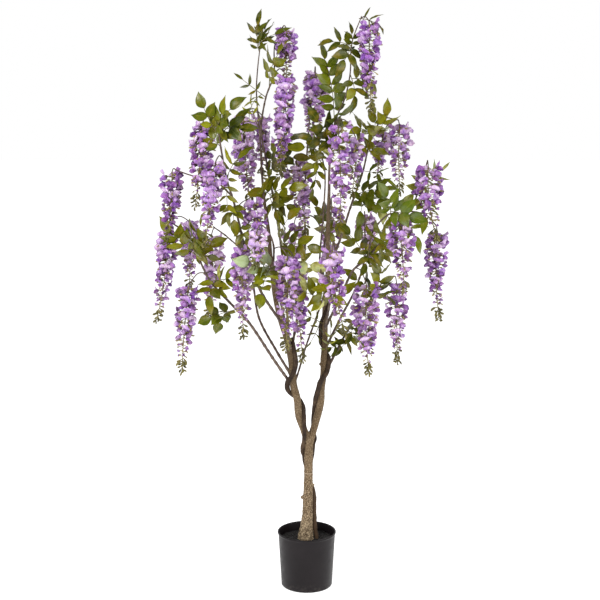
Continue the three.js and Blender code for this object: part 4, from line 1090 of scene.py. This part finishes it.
# ---------------- flower heads
FLORET_SPACING = 6.0  # along the head, for one floret
TAIL_SHARE = 0.18  # of a head's length, where it has buds only
TAIL_LENGTHS = (25, 45)
BUD_SPACING = 2.9
FEWEST_BUDS = 8
STEM_TINT, STALK_TINT = 0.62, 0.72
GOLDEN_TURN = math.radians(137.5)
FLORET_REACH = 15.0  # from calyx to the petals' outer edge
FLORET_SIZES = [[0, 0.2, 0.55, 0.8, 1], [1.2, 1.28, 1.14, 0.95, 0.72]]  # [share down the head], [size]
PALE_FLORETS = 0.12  # the share of florets that are paler
PALER = 0.3  # and by how much
CLUMPS_PER_MM = 0.03  # how often the head swells and thins along its length
HEAD_START = 5.0  # from the head's top to its first florets
WIDEST_AT = 0.25  # of the head's flowering length


def head_width(share):
    if share < WIDEST_AT:
        return mix(0.84, 1, share / WIDEST_AT)
    return mix(1, 0.4, ((share - WIDEST_AT) / (1 - WIDEST_AT)) ** 1.3)


def arch_over(start, top):
    arch = (start + top) / 2
    arch[2] += 6 + np.linalg.norm(top - start) * 0.15
    return arch


def directions_about(stem, angle):
    """Outward, sideways and upward directions at an angle about a stem that hangs down."""
    first = unit(np.cross(stem, Y_AXIS))
    outward = math.cos(angle) * first + math.sin(angle) * np.cross(stem, first)
    return outward, np.cross(-stem, outward), -stem


def stalked_floret(random, centre, directions, reach, size, young, tint):
    """A floret on its own curved stalk."""
    outward, _, up = directions
    stem = max(4.0, reach - FLORET_REACH * size)
    rise = between(random, -0.22, 0.30) * stem
    seat = centre + outward * stem + up * rise
    bend = centre + outward * stem * 0.55 + up * (rise * 0.2 - 1.0)
    stalk = tube([[*centre, 1.1], [*bend, 1.0], [*seat, 1.2]], 4, GREEN_SLOT, STALK_TINT)
    yaw = turn_about(UP, between(random, -0.375, 0.375))
    pitch = turn_about(Y_AXIS, between(random, -0.35, 0.45))
    roll = turn_about(X_AXIS, between(random, -0.45, 0.45))
    model = pick(random, SHUT_FLORETS if young else OPEN_FLORETS)
    floret = model.placed(np.stack(directions, axis=1) @ yaw @ pitch @ roll * size, seat)
    tint += between(random, -0.36, 0.38) - (0.10 if young else 0)
    if random.random() < PALE_FLORETS:
        tint += PALER
    is_petal = np.zeros(len(floret.points), bool)
    is_petal[floret.faces[floret.slots == PETAL_SLOT]] = True
    floret.looks[is_petal, TINT] += tint
    floret.looks[~is_petal, TINT] = between(random, 0.15, 0.7)
    return [stalk, floret]


def calyxes_beside(random, centre, directions, reach):
    """Up to two bare calyxes beside a floret."""
    outward, side, up = directions
    parts = []
    count = int(0.85 + random.random()) + int(0.4 + random.random())
    for turn in (0.5, 1.3)[:count]:
        aside = turn_about(-up, GOLDEN_TURN * turn + between(random, -0.3, 0.3))
        forward = unit(aside @ outward + up * between(random, -0.5, 0.2))
        pose = np.stack([forward, aside @ side, up], axis=1)
        stretch = [reach * between(random, 0.75, 1.0) / BARE_CALYX_LENGTH, 1, 1]
        model = pick(random, BARE_CALYXES)
        parts.append(model.placed(pose * stretch, centre + up * 2, between(random, 0.45, 1.1)))
    return parts


def placed_bud(random, centre, angle, size):
    outward = np.array([math.cos(angle), math.sin(angle), 0])
    forward = unit(outward - UP * between(random, 0.1, 1.1))
    side = unit(np.cross(UP, outward))
    pose = np.stack([forward, side, np.cross(forward, side)], axis=1)
    model = pick(random, TIP_BUDS)
    size *= between(random, 0.85, 1.15)
    return model.placed(pose * size, centre, between(random, 0.05, 0.62))


def make_head(row, start, seed):
    """A flower head on its stalk: florets and bare calyxes about a hanging stem, buds at its tip."""
    x, y, z, length, width, lean_x, shade, fullness = row
    top = np.array([x, y, z], float)
    lean_y = mix(-10, 10, chance(seed))
    sway = mix(-6, 6, chance(seed + 0.5))

    def hang(down):
        """The point of the hanging stem that lies so far below the head's top."""
        share = down / length
        bow = math.sin(share * math.pi) * sway
        return np.array([x + lean_x * share ** 1.5 + bow, y + lean_y * share, z - down])

    stalk = [[*start, 1.9], [*arch_over(start, top), 1.7], [*top, 1.7], [*hang(12), 1.4]]
    stem = [[*hang(down), mix(2.0, 1.1, down / length)] for down in np.linspace(0, length * 0.97, 18)]
    parts = [tube(smooth_line(stalk, step=4), 7, STALK_SLOT), tube(stem, 7, GREEN_SLOT, STEM_TINT)]
    tail = np.clip(length * TAIL_SHARE, *TAIL_LENGTHS)
    bloom = length - tail
    random = np.random.default_rng(int(seed * 100))
    # the head's shade column lightens all its petals, partly painted light for heads in the crown's shade
    tint = between(random, 0.47, 0.57) + shade
    florets = round(bloom / FLORET_SPACING * fullness)
    for i in range(florets):
        share = (i + 0.5) / florets
        down = mix(HEAD_START, bloom, share)
        centre = hang(down)
        angle = i * GOLDEN_TURN + 0.5 * (random.random() - 0.5)
        directions = directions_about(unit(hang(down + 2) - centre), angle)
        size = np.interp(share, *FLORET_SIZES) * between(random, 0.8, 1.24)
        clump = noise.noise(Vector((down * CLUMPS_PER_MM, seed * 3.1, math.sin(angle))))
        reach = head_width(share) * width / 2 * (between(random, 0.8, 1.0) + 0.3 * clump)
        young = share > between(random, 0.62, 1.0)
        parts += stalked_floret(random, centre, directions, reach, size, young, tint)
        parts += calyxes_beside(random, centre, directions, reach)
    buds = max(FEWEST_BUDS, round(tail / BUD_SPACING))
    for i in range(buds):
        share = (i + 0.6) / buds
        angle = i * GOLDEN_TURN + 0.6 * random.random()
        parts.append(placed_bud(random, hang(bloom + share * tail * 0.97), angle, mix(1.22, 0.82, share)))
    return join(parts)


def make_raceme(heads, seed):
    """One head, or two of which the second hangs from the first one's stalk."""
    top = np.array(heads[0][:3], float)
    root, _ = nearest_wood(top)
    starts = [root, arch_over(root, top)]
    return join([make_head(head, starts[i], seed + i * 0.37) for i, head in enumerate(heads)])


for number, heads in RACEMES.items():
    raceme = make_raceme(heads, int(number))
    add_piece(f"flowers_{number}", raceme, [PETALS, GREEN, TWIG_BARK], f"raceme_{number}")

# ---------------- leaves
LEAFLET_LENGTH = 56.0
LEAFLET_THICKNESS = 0.011  # as a share of its length
SHORTEST_LEAF = 96.0  # of a spray; the leaves beside it may be shorter, with smaller leaflets
LEAFLET_STALK = 2.2
LEAFLET_ANGLES = (74, 50)  # from the rib, at its foot and near its tip
PAIR_SPACING = 24.0
BARE_RIB = 14.0
FORK_OFF_WOOD = 14
TO_FRONT_AND_SKY = np.array([0, -0.75, 0.35])
RIB_DROOP = 0.3  # how far the rib falls over the leaflets, as a share of the leaf
LEAF_STEM_SLOT = 1  # leaflets are 0
PALE_LEAFLETS = 0.07  # the share of leaflets that are paler, as painted highlights
PALER_LEAFLET = 0.22  # and by how much


def leaflet(seed):
    """An ovate, pointed leaflet along +X, 1 long, folded along its midrib."""
    draws = [chance(seed * 4.1 + k * 2.3) for k in range(6)]
    t, a = blade_axes(12, 5)
    half = np.interp(t, [0, 0.06, 0.16, 0.3, 0.45, 0.6, 0.75, 0.88, 0.96, 1],
                     [0.03, 0.11, 0.2, 0.26, 0.272, 0.245, 0.175, 0.08, 0.028, 0.006])
    across = a * half * mix(0.9, 1.08, draws[1])
    lift = mix(0.16, 0.5, draws[2]) * (np.abs(across) - 0.9 * across ** 2)
    droop = mix(0.04, 0.3, draws[3])
    roll = mix(-0.5, 0.5, draws[4]) * t
    hook = mix(-0.07, 0.07, draws[5])
    ripple = 0.014 * np.sin(t * 17 + seed) * np.abs(a) ** 1.5
    x = t - 0.03 * np.abs(a) ** 2 + 0.03 * a * math.sin(seed)
    y = across * np.cos(roll) - lift * np.sin(roll) + hook * t ** 2
    z = across * np.sin(roll) + lift * np.cos(roll) + ripple - droop * t ** 2
    return blade(np.stack([x, y, z], axis=2), LEAFLET_THICKNESS)


LEAFLETS = [leaflet(i + 1) for i in range(12)]


def place_leaflet(random, foot, forward, up, length, breadth, tint):
    """A leaflet and its short stalk."""
    forward = unit(forward)
    side = unit(np.cross(up, forward))
    pose = np.stack([forward, side, np.cross(forward, side)], axis=1)
    roll = turn_about(X_AXIS, between(random, -0.35, 0.35))
    pitch = turn_about(Y_AXIS, between(random, -0.3, 0.22))
    size = length * np.array([1, breadth, 1])
    seat = foot + forward * LEAFLET_STALK
    stalk = tube([[*foot, 0.7], [*(seat + forward * 1.5), 0.6]], 4, LEAF_STEM_SLOT)
    return [stalk, pick(random, LEAFLETS).placed(pose @ roll @ pitch * size, seat, tint)]


def make_leaf(random, foot, fork, aim, facing, tint, breadth, stretch=1.0):
    """A pinnate leaf: a slim rib with pairs of leaflets and one at its tip."""
    size = np.linalg.norm(aim)
    scale = min(1.0, size / SHORTEST_LEAF)
    forward = unit(aim)
    up = unit(facing - forward * facing.dot(forward))
    side = np.cross(up, forward)
    breadth /= stretch
    leaflet_length = LEAFLET_LENGTH * scale * stretch
    rib_length = size - leaflet_length * 0.8
    leafy = rib_length - BARE_RIB * scale
    pairs = int(np.clip(round(leafy / (PAIR_SPACING * scale)), 2, 6))
    spacing = min(PAIR_SPACING * scale, leafy / pairs)
    shares = 1 - np.arange(pairs, 0, -1) * spacing / rib_length

    def rib_point(share):
        fall = RIB_DROOP * size * max(0.0, share - shares[0]) ** 2
        return fork + forward * rib_length * share - up * fall

    rib = [[*foot, 1.5]] if foot is not fork else []
    rib += [[*rib_point(share), mix(1.3, 0.8, share)] for share in np.linspace(0, 1, 8)]
    parts = [tube(smooth_line(rib, step=8), 6, LEAF_STEM_SLOT)]
    for k, share in enumerate(shares):
        for hand in (1, -1):
            angle = math.radians(mix(*LEAFLET_ANGLES, k / (pairs - 1)) + between(random, -7, 7))
            ahead = forward * math.cos(angle) + side * hand * math.sin(angle)
            length = leaflet_length * (0.8 if k == 0 else 0.95) * between(random, 0.9, 1.1)
            shade = tint + between(random, -0.11, 0.11)
            # painted highlights: a few leaflets made paler
            if chance(length * 13.7) < PALE_LEAFLETS:
                shade += PALER_LEAFLET
            parts += place_leaflet(random, rib_point(share), ahead, up, length, breadth, shade)
    ahead = rib_point(1) - rib_point(0.9)
    parts += place_leaflet(random, rib_point(1), ahead, up, leaflet_length, breadth, tint)
    return join(parts)


def facing_at(place):
    """Leaves turn outwards, to the front and a little to the sky."""
    outward = (place - CROWN_AXIS) * [1, 1, 0]
    return unit(unit(outward) * 0.5 + TO_FRONT_AND_SKY)


def make_spray(leaves, extras, greenness, seed):
    """Leaves that fork from one stem on the nearest wood, and small leaves of their own beside them."""
    foot, radius = nearest_wood(np.array(leaves[0], float))
    fork = foot + unit(leaves[1][:3]) * (radius + FORK_OFF_WOOD)
    random = np.random.default_rng(500 + seed)
    parts = []
    for i, (x, y, z, *look) in enumerate(leaves[1:]):
        aim = np.array([x, y, z], float)
        aim *= max(1, SHORTEST_LEAF / np.linalg.norm(aim))
        parts.append(make_leaf(random, foot if i == 0 else fork, fork, aim, facing_at(fork), *look))
    for row in extras:
        root, aim = np.array(row[:3], float), np.array(row[3:6], float)
        parts.append(make_leaf(random, root, root, aim, facing_at(root), *row[6:]))
    spray = join(parts)
    spray.looks[:, BLOTCH] = greenness
    return spray


for number, leaves in SPRAYS.items():
    spray = make_spray(leaves, EXTRA_LEAVES.get(number, []), GREENER.get(number, 0), int(number))
    add_piece(f"leaves_{number}", spray, [LEAVES, LEAF_STEMS], f"spray_{number}")

# ---------------- stage, light and camera
FLOOR_EDGE = 30.0  # metres from the middle
FLOOR_GLOW = 0.75  # keeps the floor as white as the photograph's ground
SOFT_LIGHT = 0.52  # of the white surroundings; the camera sees them pure white
CAMERA_PLACE = (-0.0215, -3.6, 1.504)
CAMERA_DOWN = math.radians(9.25)
FOCAL_PIXELS = 1186
PICTURE_PIXELS = 600


def add_to_scene(name, data, place, turn=(0, 0, 0)):
    thing = bpy.data.objects.new(name, data)
    thing.location = place
    thing.rotation_euler = turn
    bpy.context.scene.collection.objects.link(thing)
    return thing


def make_floor():
    mesh = bpy.data.meshes.new("floor")
    corners = [(x * FLOOR_EDGE, y * FLOOR_EDGE, 0) for x, y in [(-1, -1), (1, -1), (1, 1), (-1, 1)]]
    mesh.from_pydata(corners, [], [(0, 1, 2, 3)])
    paint = Paint("floor", 1.0, specular=0.0)
    paint.set("Emission Color", (1, 1, 1))
    paint.set("Emission Strength", FLOOR_GLOW)
    mesh.materials.append(paint.done())
    add_to_scene("floor", mesh, (0, 0, 0))


def make_surroundings():
    """A white world that lights the plant softly and is pure white to the camera."""
    world = bpy.data.worlds.new("world")
    world.use_nodes = True
    nodes, links = world.node_tree.nodes, world.node_tree.links
    background = nodes["Background"]
    background.inputs["Color"].default_value = (1, 1, 1, 1)
    seen = nodes.new("ShaderNodeMapRange")
    seen.inputs["To Min"].default_value = SOFT_LIGHT
    seen.inputs["To Max"].default_value = 1.0
    links.new(nodes.new("ShaderNodeLightPath").outputs["Is Camera Ray"], seen.inputs["Value"])
    links.new(seen.outputs["Result"], background.inputs["Strength"])
    bpy.context.scene.world = world


def add_area(name, place, target_height, size, watts):
    """A square lamp that looks at the plant's middle line."""
    light = bpy.data.lights.new(name, "AREA")
    light.energy = watts
    light.size = size
    aim = Vector((0, 0, target_height)) - Vector(place)
    add_to_scene(name, light, place, aim.to_track_quat("-Z", "Y").to_euler())


def make_camera():
    data = bpy.data.cameras.new("camera")
    data.sensor_width = 36
    data.lens = FOCAL_PIXELS / PICTURE_PIXELS * data.sensor_width
    turn = (math.pi / 2 - CAMERA_DOWN, 0, 0)
    bpy.context.scene.camera = add_to_scene("camera", data, CAMERA_PLACE, turn)


make_floor()
make_surroundings()
add_area("key", (-1.6, -2.6, 3.2), 1.0, 1.3, 74)
add_area("fill", (2.6, -2.0, 1.6), 0.9, 1.8, 22)
add_area("back", (0.6, 2.6, 2.8), 1.1, 1.6, 35)
make_camera()
bpy.context.scene.view_settings.view_transform = "Standard"
